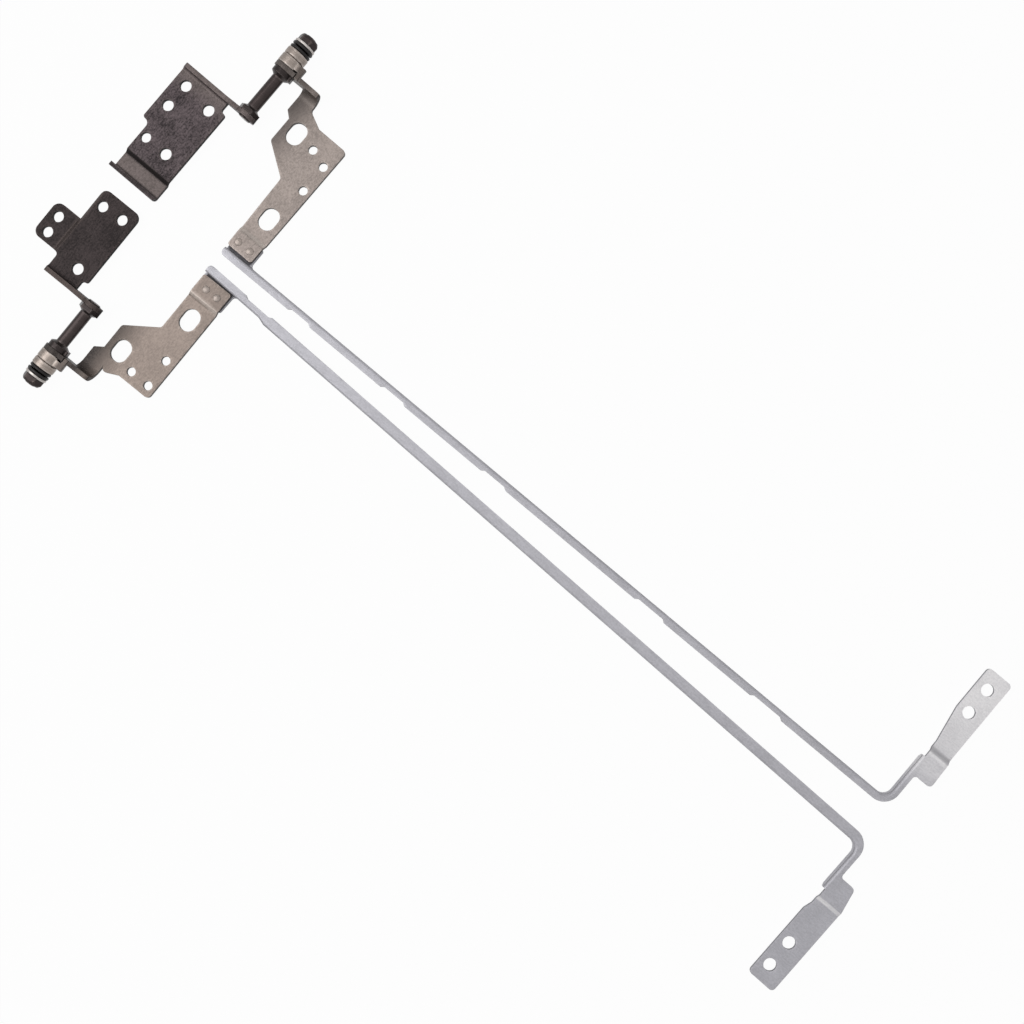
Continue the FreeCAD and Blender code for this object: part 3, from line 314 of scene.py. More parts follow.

# %% [markdown]
# ### Painted shade in nooks
# Nooks get painted shade. Such spots could be picked by hand, but a few rays from
# each point tell how much of the sky above it is walled in, and that does for every piece.

# %% Painting marks
NOOK_REACH = 2.6 * MM  # a wall farther off than this shades nothing
RAYS = 18
SKIN = 0.06 * MM  # how far above a face its rays start
EVEN_TURN = math.pi * (3.0 - math.sqrt(5.0))  # spreads points evenly over a disc


def dome_rays():
    """Directions spread over a dome, more of them near its top."""
    rays = []
    for number in range(RAYS):
        share = (number + 0.5) / RAYS
        angle = number * EVEN_TURN
        side = math.sqrt(share)
        rise = math.sqrt(1.0 - share)
        rays.append(Vector((side * math.cos(angle), side * math.sin(angle), rise)))
    return rays


DOME = dome_rays()


def paint(mesh, name, numbers):
    """Puts one number on each point of a mesh."""
    mesh.attributes.new(name, "FLOAT", "POINT").data.foreach_set("value", numbers)


def paint_nook_shade(mesh, body):
    """Marks how much of the sky over each point is walled in by its own body, as painted shade."""
    surface = SURFACES[body]
    walled = []
    for vert in mesh.vertices:
        up = vert.normal
        turn = up.to_track_quat("Z", "Y")
        start = vert.co + up * SKIN
        total = 0.0
        for ray in DOME:
            reach = surface.ray_cast(start, turn @ ray, NOOK_REACH)[3]
            if reach is not None:
                total += 1.0 - reach / NOOK_REACH
        walled.append(total / RAYS)
    paint(mesh, "nook_shade", walled)


print("rays from each point:", len(DOME))

# %% [markdown]
# ## Deburred copies
# Cut sheet never has a razor edge: the press rolls one side and a tumbler takes the burr off the
# other. A Bevel modifier on the loose CAD triangles would round every facet, so each piece is
# copied, its doubles merged and its flat facets joined first. Then only the true corners are
# rounded, and the faces are cut small enough to hold marks.

# %% Corners and slices
MERGE = 0.002 * MM
CORNER_STEP = 0.15 * MM


def corner_tree(corners):
    """Points along the true corners, to measure wear from."""
    points = []
    for edge in corners:
        first, last = (vert.co for vert in edge.verts)
        steps = max(1, math.ceil((last - first).length / CORNER_STEP))
        points.extend(first.lerp(last, step / steps) for step in range(steps + 1))
    tree = KDTree(len(points))
    for number, point in enumerate(points):
        tree.insert(point, number)
    tree.balance()
    return tree


def slice_up(shape, pitch):
    """Cuts the faces along planes a pitch apart, so that points enough hold the marks."""
    for axis in range(3):
        reach = [vert.co[axis] for vert in shape.verts]
        low, high = min(reach), max(reach)
        count = math.ceil((high - low) / pitch)
        across = Vector(1.0 if number == axis else 0.0 for number in range(3))
        for number in range(1, count):
            place = across * (low + (high - low) * number / count)
            everything = shape.verts[:] + shape.edges[:] + shape.faces[:]
            bmesh.ops.bisect_plane(shape, geom=everything, dist=MERGE, plane_co=place,
                                   plane_no=across)


print("wear is measured from points", round(CORNER_STEP / MM, 2), "mm apart along the corners")

# %% [markdown]
# ### Press-cut walls
# A press shears the sheet, so cut walls come out rough and dark while rolled faces stay smooth.
# Their dark tone is also painted shade on walls that face sideways, so walls facing up or down are
# left out. The walls could be picked by hand, but rays tell them apart: a rolled face has its back
# one gauge behind it, and a cut wall has not.

# %% Press-cut walls
UP = Vector((0.0, 0.0, 1.0))
UNDER = 0.03 * MM  # how deep below a face its sheet is felt for
ONE_SHEET = (0.8, 1.25)  # gauges between which a wall counts as one sheet
FLANGE = 1.3  # gauges above which an upright wall is a flange
LEVEL = 0.6  # a normal that rises more than this belongs to a level face


def press_cut(shape, gauge):
    """Marks the walls that the press cut, for their rough dark tone and painted shade. A rolled
    face has its back one gauge behind it.
    """
    thin, thick = ONE_SHEET
    walls = BVHTree.FromBMesh(shape)
    layer = shape.faces.layers.float.new("cut_and_shade")
    for face in shape.faces:
        inside = face.calc_center_median() - face.normal * UNDER
        ways = (-face.normal, UP, -UP)
        behind, above, below = (walls.ray_cast(inside, way)[3] or 0.0 for way in ways)
        upright = thin * gauge < behind < thick * gauge and above + below > FLANGE * gauge
        # level faces catch the light, so they get no painted shade
        face[layer] = 0.0 if upright or abs(face.normal.z) > LEVEL else 1.0


print("one sheet is", ONE_SHEET[0], "to", ONE_SHEET[1], "gauges thick")

# %% [markdown]
# ### From solid to piece
# Merging, rounding, slicing and marking follow one after the other. A stack of modifiers could do
# most of it, but the marks need the finished points, so plain mesh code does it in one go.

# %% Deburring
CRUMB = 0.0003 * MM  # edges shorter than this are dropped
FLAT = math.radians(0.6)
CORNER = math.radians(44.0)
WEAR_REACH = 0.3 * MM


def deburr(node, name, radius, pitch, material, gauge=None, places=None):
    """A copy of a CAD piece with rounded corners and painted marks. Sizes are in metres."""
    shape = bmesh.new()
    shape.from_mesh(frame["nodes"][node].data)
    bmesh.ops.remove_doubles(shape, verts=shape.verts[:], dist=MERGE)
    bmesh.ops.dissolve_limit(shape, angle_limit=FLAT, verts=shape.verts[:], edges=shape.edges[:])
    corners = [edge for edge in shape.edges if edge.is_manifold and edge.calc_face_angle() > CORNER]
    near = corner_tree(corners)
    bmesh.ops.bevel(shape, geom=corners, offset=radius, segments=2, profile=0.5, affect="EDGES",
                    clamp_overlap=True)
    slice_up(shape, pitch)
    bmesh.ops.dissolve_degenerate(shape, edges=shape.edges[:], dist=CRUMB)
    shape.normal_update()
    if gauge:
        press_cut(shape, gauge)
    bmesh.ops.triangulate(shape, faces=shape.faces[:])
    mesh = bpy.data.meshes.new(name)
    shape.to_mesh(mesh)
    shape.free()
    mesh.polygons.foreach_set("use_smooth", [True] * len(mesh.polygons))
    worn = [max(0.0, 1.0 - near.find(vert.co)[2] / WEAR_REACH) for vert in mesh.vertices]
    paint(mesh, "worn", worn)
    for label, place in (places or {}).items():
        paint(mesh, label, [place(vert.co, vert.normal) for vert in mesh.vertices])
    paint_nook_shade(mesh, BODY[node])
    mesh.materials.append(material)
    piece = bpy.data.objects.new(name, mesh)
    bpy.context.scene.collection.objects.link(piece)
    piece.modifiers.new("flat_faces_stay_flat", "WEIGHTED_NORMAL").keep_sharp = True
    print(name, len(mesh.polygons), "triangles")
    return piece


def settle(piece, node):
    """The piece stands for a CAD node and moves with its body."""
    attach(piece, BODY[node])
    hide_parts(node)


print("corners sharper than", round(math.degrees(CORNER)), "degrees get rounded")

# %% [markdown]
# ## Finishes
# Grain is fine noise, blotches are slow noise, and both only push the colour up and down. Wear
# uncovers brighter metal at the corners. Press-cut walls go dark, partly as painted shade, and
# nooks get painted shade. Some marked places get painted light and others painted shade. The
# roughness follows the same noise, and a small bump breaks the reflections as real rolled sheet
# does. A picture of steel could be wrapped round instead, but noise has no seams and no end.

# %% What all finishes share
GLOSS = 0.5  # how strongly a plain coat mirrors
MATT = 0.15  # and a phosphate coat


def shade(red, green, blue):
    """A screen colour, 0 to 255, as the linear colour that a shader wants."""
    parts = []
    for part in (red, green, blue):
        share = part / 255.0
        parts.append(share / 12.92 if share <= 0.04045 else ((share + 0.055) / 1.055) ** 2.4)
    return (*parts, 1.0)


def dim(colour, factor):
    """The same colour, darker or brighter."""
    return (*(part * factor for part in colour[:3]), 1.0)


def mix(finish, factor, first, second):
    """A colour between two colours."""
    inputs = {"Factor_Float": factor, "A_Color": first, "B_Color": second}
    return finish.add("ShaderNodeMix", {"data_type": "RGBA"}, inputs, 2)


def noise(finish, size, stretch=(1.0, 1.0, 1.0), detail=3.0):
    """Cloudy noise with blobs of that many millimetres, drawn out along an axis by stretch."""
    scale = tuple(1.0 / part for part in stretch)
    inputs = {"Vector": finish.place, "Scale": scale}
    spot = finish.add("ShaderNodeMapping", {"vector_type": "POINT"}, inputs)
    inputs = {"Vector": spot, "Scale": 1.0 / (size * MM), "Detail": detail}
    return finish.add("ShaderNodeTexNoise", {}, inputs)


def mark(finish, name):
    """A number that was painted on the mesh."""
    return finish.add("ShaderNodeAttribute", {"attribute_name": name}, {}, "Fac")


def close(finish, colour, roughness, metallic, height, depth, gloss=GLOSS):
    """Joins everything in one Principled surface. Depth is the bump in millimetres."""
    inputs = {"Height": height, "Strength": 1.0, "Distance": depth * MM}
    normal = finish.add("ShaderNodeBump", {}, inputs)
    inputs = {"Base Color": colour, "Roughness": roughness, "Metallic": metallic,
              "Normal": normal, "Specular IOR Level": gloss}
    surface = finish.add("ShaderNodeBsdfPrincipled", {}, inputs)
    finish.add("ShaderNodeOutputMaterial", {}, {"Surface": surface})
    print("finish:", finish.material.name, "nodes:", finish.count)
    return finish.material


print("half grey on a screen is", round(shade(128, 128, 128)[0], 3), "in a shader")

# %% [markdown]
# ### Sheet metal
# The base brackets have a dark phosphate coat, the lid brackets a warm satin one, and the straps
# are zinc plated. Six separate materials would repeat the same nodes, so one function takes the
# tones: the sheets differ in colour, and not in how they wear. The left lid bracket's finish is a
# darker copy of the right one, painted shade of the light falling off across the pair; the left
# base bracket's finish is darker too.

# %% Sheet metal
BLOTCH, GRAIN, SPECK, CHIP = 5.0, 0.3, 0.45, 0.7  # sizes of the patterns, in millimetres
SHEET_BUMP = 0.035
ACROSS = (1.0, 4.0, 1.0)
ALONG = (6.0, 1.0, 1.0)


def sheet_metal(name, base, bright_tone, cut_and_shade_tone, nook_shade_tone, swing, wear, stretch, metallic, rough,
                gloss=GLOSS):
    """Rolled, press-cut sheet. Swing is how far the grain pushes the colour, wear how bright
    the corners rub, stretch which way the grain runs. The bright tone is for worn corners and
    painted light, the cut tone for press-cut walls and painted shade, the nook tone for painted
    shade in nooks."""
    finish = Finish(name)
    blotch = noise(finish, BLOTCH)
    grain = noise(finish, GRAIN, stretch=stretch, detail=2.0)
    speck = noise(finish, SPECK, detail=5.0)
    pattern = (blotch * 0.25 + grain * 0.3 + speck * 0.45).step(0.35, 0.65)
    tone = mix(finish, pattern, dim(base, 1.0 - swing), dim(base, 1.0 + swing))
    # painted light: marked places are brightened towards the bright tone
    painted_light = mix(finish, mark(finish, "painted_light") * (0.7 + pattern * 0.3), tone, bright_tone)
    worn = mark(finish, "worn") * noise(finish, CHIP).step(0.4, 0.62) * wear
    edged = mix(finish, worn, painted_light, bright_tone)
    # painted shade on the marked places, towards the cut tone
    shaded = mix(finish, mark(finish, "painted_shade") * (0.75 + speck * 0.5), edged, cut_and_shade_tone)
    cut_and_shade = mark(finish, "cut_and_shade")
    # press-cut walls: rough dark steel, with painted shade on walls that face sideways
    walled = mix(finish, cut_and_shade * 0.9, shaded, cut_and_shade_tone)
    # painted shade in nooks, darker the more a point is walled in
    colour = mix(finish, (mark(finish, "nook_shade") * 1.7).step(0.3, 1.1), walled, nook_shade_tone)
    roughness = rough + speck * 0.14 + cut_and_shade * 0.12
    height = grain * 0.5 + speck * 0.5
    return close(finish, colour, roughness, metallic, height, SHEET_BUMP, gloss)


right_dark = sheet_metal(
    "dark_phosphate_right", base=shade(85, 76, 78), bright_tone=shade(138, 127, 122),
    cut_and_shade_tone=shade(30, 26, 26), nook_shade_tone=shade(14, 12, 12),
    swing=0.75, wear=0.4, stretch=ACROSS, metallic=0.35, rough=0.42, gloss=MATT)
left_dark = sheet_metal(
    "dark_phosphate_left", base=shade(57, 50, 50), bright_tone=shade(104, 93, 89),
    cut_and_shade_tone=shade(24, 21, 21), nook_shade_tone=shade(10, 8, 8),
    swing=0.6, wear=0.4, stretch=ACROSS, metallic=0.35, rough=0.46, gloss=MATT)
right_satin = sheet_metal(
    "satin_steel_right", base=shade(150, 139, 133), bright_tone=shade(222, 211, 203),
    cut_and_shade_tone=shade(46, 40, 38), nook_shade_tone=shade(40, 34, 32),
    swing=0.26, wear=0.3, stretch=ACROSS, metallic=0.55, rough=0.4)
# a darker copy of the right satin: painted shade of the light falling off across the pair
left_satin = sheet_metal(
    "satin_steel_left", base=shade(140, 127, 119), bright_tone=shade(216, 204, 195),
    cut_and_shade_tone=shade(44, 38, 36), nook_shade_tone=shade(38, 32, 30),
    swing=0.22, wear=0.3, stretch=ACROSS, metallic=0.55, rough=0.4)
strap_zinc = sheet_metal(
    "zinc_strap_steel", base=shade(182, 181, 187), bright_tone=shade(244, 242, 243),
    cut_and_shade_tone=shade(136, 135, 140), nook_shade_tone=shade(64, 62, 66),
    swing=0.12, wear=0.1, stretch=ALONG, metallic=0.5, rough=0.42)
rivet_satin = sheet_metal(
    "satin_rivet_steel", base=shade(158, 147, 140), bright_tone=shade(190, 181, 175),
    cut_and_shade_tone=shade(90, 82, 78), nook_shade_tone=shade(48, 42, 40),
    swing=0.16, wear=0.2, stretch=ACROSS, metallic=0.6, rough=0.32)

# %% [markdown]
# ### Turned metal
# Turned pieces carry fine lines that run round them, left by the lathe tool. A UV map could guide
# them, but all these pieces turn about hinge axes that run along Y, so noise that is drawn out
# along X and Z and tight along Y gives such lines by itself.

# %% Turned metal
CLOUD, LATHE_LINE, NICK = 1.8, 0.14, 0.5  # sizes of the patterns, in millimetres
LATHE_BUMP = 0.015
ROUND_Y = (40.0, 1.0, 40.0)


def turned_metal(name, base, bright_tone, nook_shade_tone, metallic, rough):
    """Steel or nickel from the lathe, with painted shade in places."""
    finish = Finish(name)
    blotch = noise(finish, CLOUD)
    lines = noise(finish, LATHE_LINE, stretch=ROUND_Y, detail=2.0)
    pattern = (blotch * 0.5 + lines * 0.5).step(0.3, 0.7)
    tone = mix(finish, pattern, dim(base, 0.78), dim(base, 1.2))
    worn = mark(finish, "worn") * noise(finish, NICK).step(0.38, 0.6) * 0.5
    edged = mix(finish, worn, tone, bright_tone)
    # painted shade on the marked places, towards the nook tone
    shaded = mix(finish, mark(finish, "painted_shade") * 0.8, edged, nook_shade_tone)
    # painted shade in nooks, darker the more a point is walled in
    colour = mix(finish, (mark(finish, "nook_shade") * 1.6).step(0.15, 1.0), shaded, nook_shade_tone)
    roughness = rough + blotch * 0.12 + lines * 0.1
    return close(finish, colour, roughness, metallic, lines, LATHE_BUMP)


shaft_steel = turned_metal(
    "oiled_shaft_steel", base=shade(58, 50, 49), bright_tone=shade(112, 103, 100),
    nook_shade_tone=shade(12, 10, 10), metallic=0.75, rough=0.2)
ring_nickel = turned_metal(
    "bright_ring_nickel", base=shade(143, 133, 126), bright_tone=shade(205, 197, 191),
    nook_shade_tone=shade(40, 34, 32), metallic=0.9, rough=0.24)
spring_black = turned_metal(
    "black_spring_steel", base=shade(30, 27, 27), bright_tone=shade(74, 69, 67),
    nook_shade_tone=shade(6, 5, 5), metallic=0.5, rough=0.3)
washer_steel = turned_metal(
    "bright_washer_steel", base=shade(172, 166, 162), bright_tone=shade(210, 206, 202),
    nook_shade_tone=shade(50, 45, 43), metallic=0.9, rough=0.26)
nut_steel = turned_metal(
    "dark_nut_steel", base=shade(48, 40, 39), bright_tone=shade(112, 101, 96),
    nook_shade_tone=shade(10, 8, 8), metallic=0.7, rough=0.26)

# %% [markdown]
# ## Sheet pieces
# Base brackets, lid brackets and straps are pressed sheet, so all six go through the deburring.
# Some places get painted light, such as the low strip of the right base bracket, the top edges of
# the flanges and the joggles. Others get painted shade. A painted picture could show that, but a
# small function for each piece says it in words and sizes.

# %% Where the sheet gets painted light or shade
HINGES = {joint["name"].split("_")[0]: joint for joint in frame["joints"]}
MEASURED = ("right_base_bracket", "right_lid_bracket", "left_lid_bracket")
ENDS = {node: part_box(node) for node in MEASURED}
FADE = 0.15 * MM


def ramp(value, low, high):
    """0 at low, 1 at high, straight between. Low may be the larger one."""
    return min(1.0, max(0.0, (value - low) / (high - low)))


def band(value, start, end):
    """1 between start and end, with a short fade on both sides."""
    return ramp(value, start - FADE, start + FADE) * ramp(value, end + FADE, end - FADE)


def from_end(node, spot):
    """How far a spot lies from that end of a bracket that points away from the nut."""
    low, high = ENDS[node]
    return spot.y - low.y if node.startswith("right") else high.y - spot.y


def from_axis(side, spot):
    """How far a spot lies beside the hinge axis, seen from above."""
    axis, origin = HINGES[side]["axis"], HINGES[side]["pos_m"]
    return (spot.x - origin[0]) * axis[1] - (spot.y - origin[1]) * axis[0]


print("hinge axes:", {side: tuple(hinge["axis"]) for side, hinge in HINGES.items()})

# %% [markdown]
# ### Base brackets
# The right base bracket steps down to a low strip with a little flange at its end. The strip gets
# painted light, the step and the little flange painted shade, and level faces past the bend and the
# far flange top a painted highlight. The left one is plain apart from painted light on its flange
# top and the edge above its tab. Fixed places would do, but distances from the bracket's own end
# stay right when the bracket moves. Only the tab's edge is given along X.

# %% Marks of the base brackets
FLANGE_TOP = (2.8 * MM, 3.2 * MM)  # heights at which a flange's top edge begins
LOW_FLANGE = (0.0, 1.2 * MM)
LOW_STRIP = (1.2 * MM, 5.1 * MM)
LOW_STEP = (5.1 * MM, 6.2 * MM)
BEND = (25.6 * MM, 29.6 * MM)
HIGH_FLANGE = (29.0 * MM, 32.0 * MM)
TAB_EDGE = (-124.7 * MM, -123.4 * MM)


def flange_top(spot, normal):
    """1 on the top edge of an upright flange, where light is painted."""
    return ramp(spot.z, *FLANGE_TOP) * max(0.0, normal.z)


# painted light on the low strip, on level faces past the bend and on the far flange top
def right_base_light(spot, normal):
    end = from_end("right_base_bracket", spot)
    strip = 0.55 * band(end, *LOW_STRIP)
    bend = 0.5 * ramp(end, *BEND)
    return max(strip, bend * normal.z, 0.4 * band(end, *HIGH_FLANGE) * flange_top(spot, normal))


# painted shade on the step down to the low strip and on its little flange
def right_base_shade(spot, normal):
    end = from_end("right_base_bracket", spot)
    return max(0.9 * band(end, *LOW_STEP), 0.6 * band(end, *LOW_FLANGE))


# painted light on the flange top and on the level edge above the tab
def left_base_light(spot, normal):
    return max(0.7 * flange_top(spot, normal), 0.5 * band(spot.x, *TAB_EDGE) * normal.z)


print("low strip of the right base bracket, mm:", [round(part / MM, 2) for part in LOW_STRIP])

# %% [markdown]
# ### Feet and lid brackets
# A joggle is the small step that lets two sheets lie flush, and its slope gets painted light.
# The right strap's foot gets painted light all over, more so towards its end, and painted shade
# just past its joggle. On the lid brackets the barrel's shadow is painted over the neck. They could
# have a function each, but only sizes and strengths differ, so they share one.

# %% Marks of feet and lid brackets
FOOT_START = (119.5 * MM, 121.0 * MM)  # along X, where a strap turns into its foot
RIGHT_FOOT_START = (8.0 * MM, 14.0 * MM)  # the rest of the feet along Y
RIGHT_FOOT_LIGHT = (18.0 * MM, 34.0 * MM)
RIGHT_FOOT_JOGGLE = (17.4 * MM, 17.9 * MM)
RIGHT_FOOT_SHADOW = (18.0 * MM, 19.5 * MM)
LEFT_FOOT_JOGGLE = (-28.2 * MM, -27.3 * MM)
LID_JOGGLE = {"right": (4.8 * MM, 5.7 * MM), "left": (5.4 * MM, 6.4 * MM)}  # from the riveted end
LID_NECK = (14.5 * MM, 7.0 * MM)  # from the hinge axis


# painted light on the whole right foot, brightest towards its end and on its joggle
def right_foot_light(spot, normal):
    foot = ramp(spot.x, *FOOT_START) * ramp(spot.y, *RIGHT_FOOT_START)
    foot_light = 0.6 + 0.4 * ramp(spot.y, *RIGHT_FOOT_LIGHT)
    return foot * max(foot_light, band(spot.y, *RIGHT_FOOT_JOGGLE))


# painted shade just past the right foot's joggle
def right_foot_shade(spot, normal):
    return 0.45 * ramp(spot.x, *FOOT_START) * band(spot.y, *RIGHT_FOOT_SHADOW)


# painted light on the left foot's joggle
def left_foot_light(spot, normal):
    return ramp(spot.x, *FOOT_START) * band(spot.y, *LEFT_FOOT_JOGGLE)


def lid_places(side, brightness, painted_shade):
    """How much painted light the joggle of a lid bracket gets, and how much painted shadow its
    neck.
    """

    def joggle(spot, normal):
        return brightness * band(from_end(side + "_lid_bracket", spot), *LID_JOGGLE[side])

    # painted shadow of the barrel, darker nearer the hinge axis
    def neck(spot, normal):
        return painted_shade * ramp(from_axis(side, spot), *LID_NECK)

    return {"painted_light": joggle, "painted_shade": neck}


for side, reach in LID_JOGGLE.items():
    print(side, "joggle, mm from the riveted end:", [round(part / MM, 2) for part in reach])

# %% [markdown]
# ### Brackets and straps
# One row for each sheet piece gives its cut, its finish, its material slot and its marks. They
# could be six blocks of code, but a table shows at a glance where the pieces differ.

# %% Brackets and straps
BRACKET = (0.12 * MM, 0.6 * MM, 1.2 * MM)  # corner radius, how fine the faces are cut, gauge
STRAP = (0.08 * MM, 1.0 * MM, 0.8 * MM)
SHEETS = (
    ("right_base_bracket", BRACKET, right_dark, "dark_steel",
     {"painted_light": right_base_light, "painted_shade": right_base_shade}),
    ("left_base_bracket", BRACKET, left_dark, "dark_steel", {"painted_light": left_base_light}),
    ("right_lid_bracket", BRACKET, right_satin, "lid_steel",
     lid_places("right", brightness=0.8, painted_shade=0.75)),
    ("left_lid_bracket", BRACKET, left_satin, "lid_steel",
     lid_places("left", brightness=0.8, painted_shade=0.95)),
    ("right_strap", STRAP, strap_zinc, "strap_steel",
     {"painted_light": right_foot_light, "painted_shade": right_foot_shade}),
    ("left_strap", STRAP, strap_zinc, "strap_steel", {"painted_light": left_foot_light}),
)
for node, (radius, pitch, gauge), material, slot, places in SHEETS:
    piece = deburr(node, node + "_deburred", radius, pitch, material, gauge, places)
    settle(piece, node)

# %% [markdown]
# ## Turned pieces
# Shaft, rings, end washer and nut come off a lathe. They could be spun anew from a profile, but
# their solids already have the right steps, flats and bores, so they only need rounded corners
# and the lathe lines of their finish.

# %% Shaft, rings and nut
TURNED_PITCH = 0.5 * MM
SOFT, ROUND = 0.10 * MM, 0.12 * MM  # corner radii
TURNED = (
    ("shaft", SOFT, shaft_steel, "shaft_steel"),
    ("tabbed_washer", ROUND, ring_nickel, "ring_nickel"),
    ("pressure_ring", ROUND, ring_nickel, "ring_nickel"),
    ("end_washer", SOFT, washer_steel, "washer_steel"),
    ("nut", SOFT, nut_steel, "nut_steel"),
)
RING_TAB = (2.6 * MM, 2.9 * MM)  # beside the axis, where the tab leaves its ring
COLLAR = (2.0 * MM, 2.3 * MM)  # from the axis, past the shaft's plain run


def off_axis(side, spot):
    """How far a spot lies from the hinge axis itself."""
    axis, out = Vector(HINGES[side]["axis"]), spot - Vector(HINGES[side]["pos_m"])
    return (out - axis * out.dot(axis)).length


def tab_shade(side):
    """The tab of the first ring sits in the gap beside the lid bracket's ear and gets painted shade
    there.
    """
    return lambda spot, normal: ramp(from_axis(side, spot), *RING_TAB)


def collar_darkening(side):
    """The shaft's two collars are painted darker."""
    return lambda spot, normal: 0.5 * ramp(off_axis(side, spot), *COLLAR)


DARKENED = {"shaft": collar_darkening, "tabbed_washer": tab_shade}

for side in SIDES:
    for part, radius, material, slot in TURNED:
        node = side + "_" + part
        places = {"painted_shade": DARKENED[part](side)} if part in DARKENED else None
        piece = deburr(node, node + "_turned", radius, TURNED_PITCH, material, places=places)
        settle(piece, node)

# %% [markdown]
# ## Rivets and springs
# Two rivets and two dished springs repeat one shape along a line. Copies could be set one by one,
# but this is what Geometry Nodes are good at: each recipe below is a small tree with named sizes.
# The result is turned into a plain mesh, because an exported model can't carry live nodes.

# %% Geometry Nodes recipes
class Recipe(Wiring):
    """A Geometry Nodes tree with named sizes."""

    def __init__(self, name, sizes):
        self.start(bpy.data.node_groups.new(name, "GeometryNodeTree"))
        face = self.tree.interface
        face.new_socket("Geometry", in_out="OUTPUT", socket_type="NodeSocketGeometry")
        self.keys = {}
        for label, kind in sizes:
            socket = face.new_socket(label, in_out="INPUT", socket_type="NodeSocket" + kind)
            self.keys[label] = socket.identifier
        self.entry = self.tree.nodes.new("NodeGroupInput")

    def size(self, label):
        """One of the named sizes, as a socket that can do sums."""
        return Value(self, self.entry.outputs[label])

    def close(self, instances, material):
        """Makes the instances real, smooths them and gives them their finish."""
        real = self.add("GeometryNodeRealizeInstances", {}, {"Geometry": instances})
        smooth = self.add("GeometryNodeSetShadeSmooth", {}, {"Geometry": real})
        inputs = {"Geometry": smooth, "Material": material}
        done = self.add("GeometryNodeSetMaterial", {}, inputs)
        self.tree.links.new(done.socket, self.tree.nodes.new("NodeGroupOutput").inputs[0])

    def cook(self, name, sizes, place):
        """A plain mesh object of this recipe, moved to its place."""
        piece = bpy.data.objects.new(name, bpy.data.meshes.new(name + "_seed"))
        bpy.context.scene.collection.objects.link(piece)
        modifier = piece.modifiers.new("recipe", "NODES")
        modifier.node_group = self.tree
        for label, value in sizes.items():
            modifier[self.keys[label]] = value
        graph = bpy.context.evaluated_depsgraph_get()
        mesh = bpy.data.meshes.new_from_object(piece.evaluated_get(graph), depsgraph=graph)
        piece.modifiers.clear()
        mesh.name = name
        mesh.transform(place)
        piece.data = mesh
        print(name, len(mesh.polygons), "faces", [round(part / MM, 2) for part in piece.dimensions])
        return piece


print("a recipe ends in real, smooth geometry with its finish on")

# %% [markdown]
# ### Rivets
# Two rivets join each strap to its lid bracket. Their heads were pressed into low domes. A flat
# cylinder whose top bulges by `1 - (r / R)²` gives the dome. The shank could be a second cylinder,
# but that would leave a hidden wall inside, so it is pulled out of the head's underside instead
# and each rivet stays one closed skin.

# %% Rivet recipe
RIM_SHARE = 0.3  # of a head's height, the straight part below the dome

rivets = Recipe("rivet_pair", (
    ("Head Radius", "Float"), ("Head Height", "Float"), ("Shank Radius", "Float"),
    ("Shank Length", "Float"), ("Pitch", "Vector")))
head_radius, head_height = rivets.size("Head Radius"), rivets.size("Head Height")
shank_radius, shank_length = rivets.size("Shank Radius"), rivets.size("Shank Length")
rim = head_height * RIM_SHARE
disc = rivets.add("GeometryNodeMeshCylinder", {}, {
    "Vertices": 40, "Side Segments": 2, "Fill Segments": 8, "Radius": head_radius, "Depth": rim})
spot = rivets.add("GeometryNodeInputPosition", {}, {})
across = rivets.add("ShaderNodeSeparateXYZ", {}, {"Vector": spot}, "X")
along = rivets.add("ShaderNodeSeparateXYZ", {}, {"Vector": spot}, "Y")
height = rivets.add("ShaderNodeSeparateXYZ", {}, {"Vector": spot}, "Z")
spread = across * across + along * along
share = spread / (head_radius * head_radius)
bulge = rivets.add("ShaderNodeCombineXYZ", {}, {"Z": (1.0 - share) * (head_height - rim)})
dome = rivets.add("GeometryNodeSetPosition", {}, {
    "Geometry": disc, "Selection": height > 0.0, "Offset": bulge})
facing = rivets.add("GeometryNodeInputNormal", {}, {})
upwards = rivets.add("ShaderNodeSeparateXYZ", {}, {"Vector": facing}, "Z")
under = (0.0 - upwards > 0.5) * (shank_radius * shank_radius > spread)
pulled = rivets.add("GeometryNodeExtrudeMesh", {"mode": "FACES"}, {
    "Mesh": dome, "Selection": under, "Offset": (0.0, 0.0, -1.0), "Offset Scale": shank_length,
    "Individual": False})
lift = rivets.add("ShaderNodeCombineXYZ", {}, {"Z": rim * 0.5})
whole = rivets.add("GeometryNodeTransform", {}, {"Geometry": pulled, "Translation": lift})
seats = rivets.add("GeometryNodeMeshLine", {}, {"Count": 2, "Offset": rivets.size("Pitch")})
row = rivets.add("GeometryNodeInstanceOnPoints", {}, {"Points": seats, "Instance": whole})
rivets.close(row, rivet_satin)
print("rivet recipe nodes:", rivets.count)

# %% [markdown]
# ### Rivets in their seats
# The solids say where the rivets sit: the points of their heads, parted into a left and a right
# half, have a rivet's middle as their mean. Typed places would do too, but would go wrong as soon
# as the CAD model moves.

# %% Rivets in their seats
RIVET_SEAT = 2.0 * MM  # top of the lid bracket at its riveted end
HEAD_RADIUS = 0.95 * MM
SHANK_RADIUS = 0.6 * MM

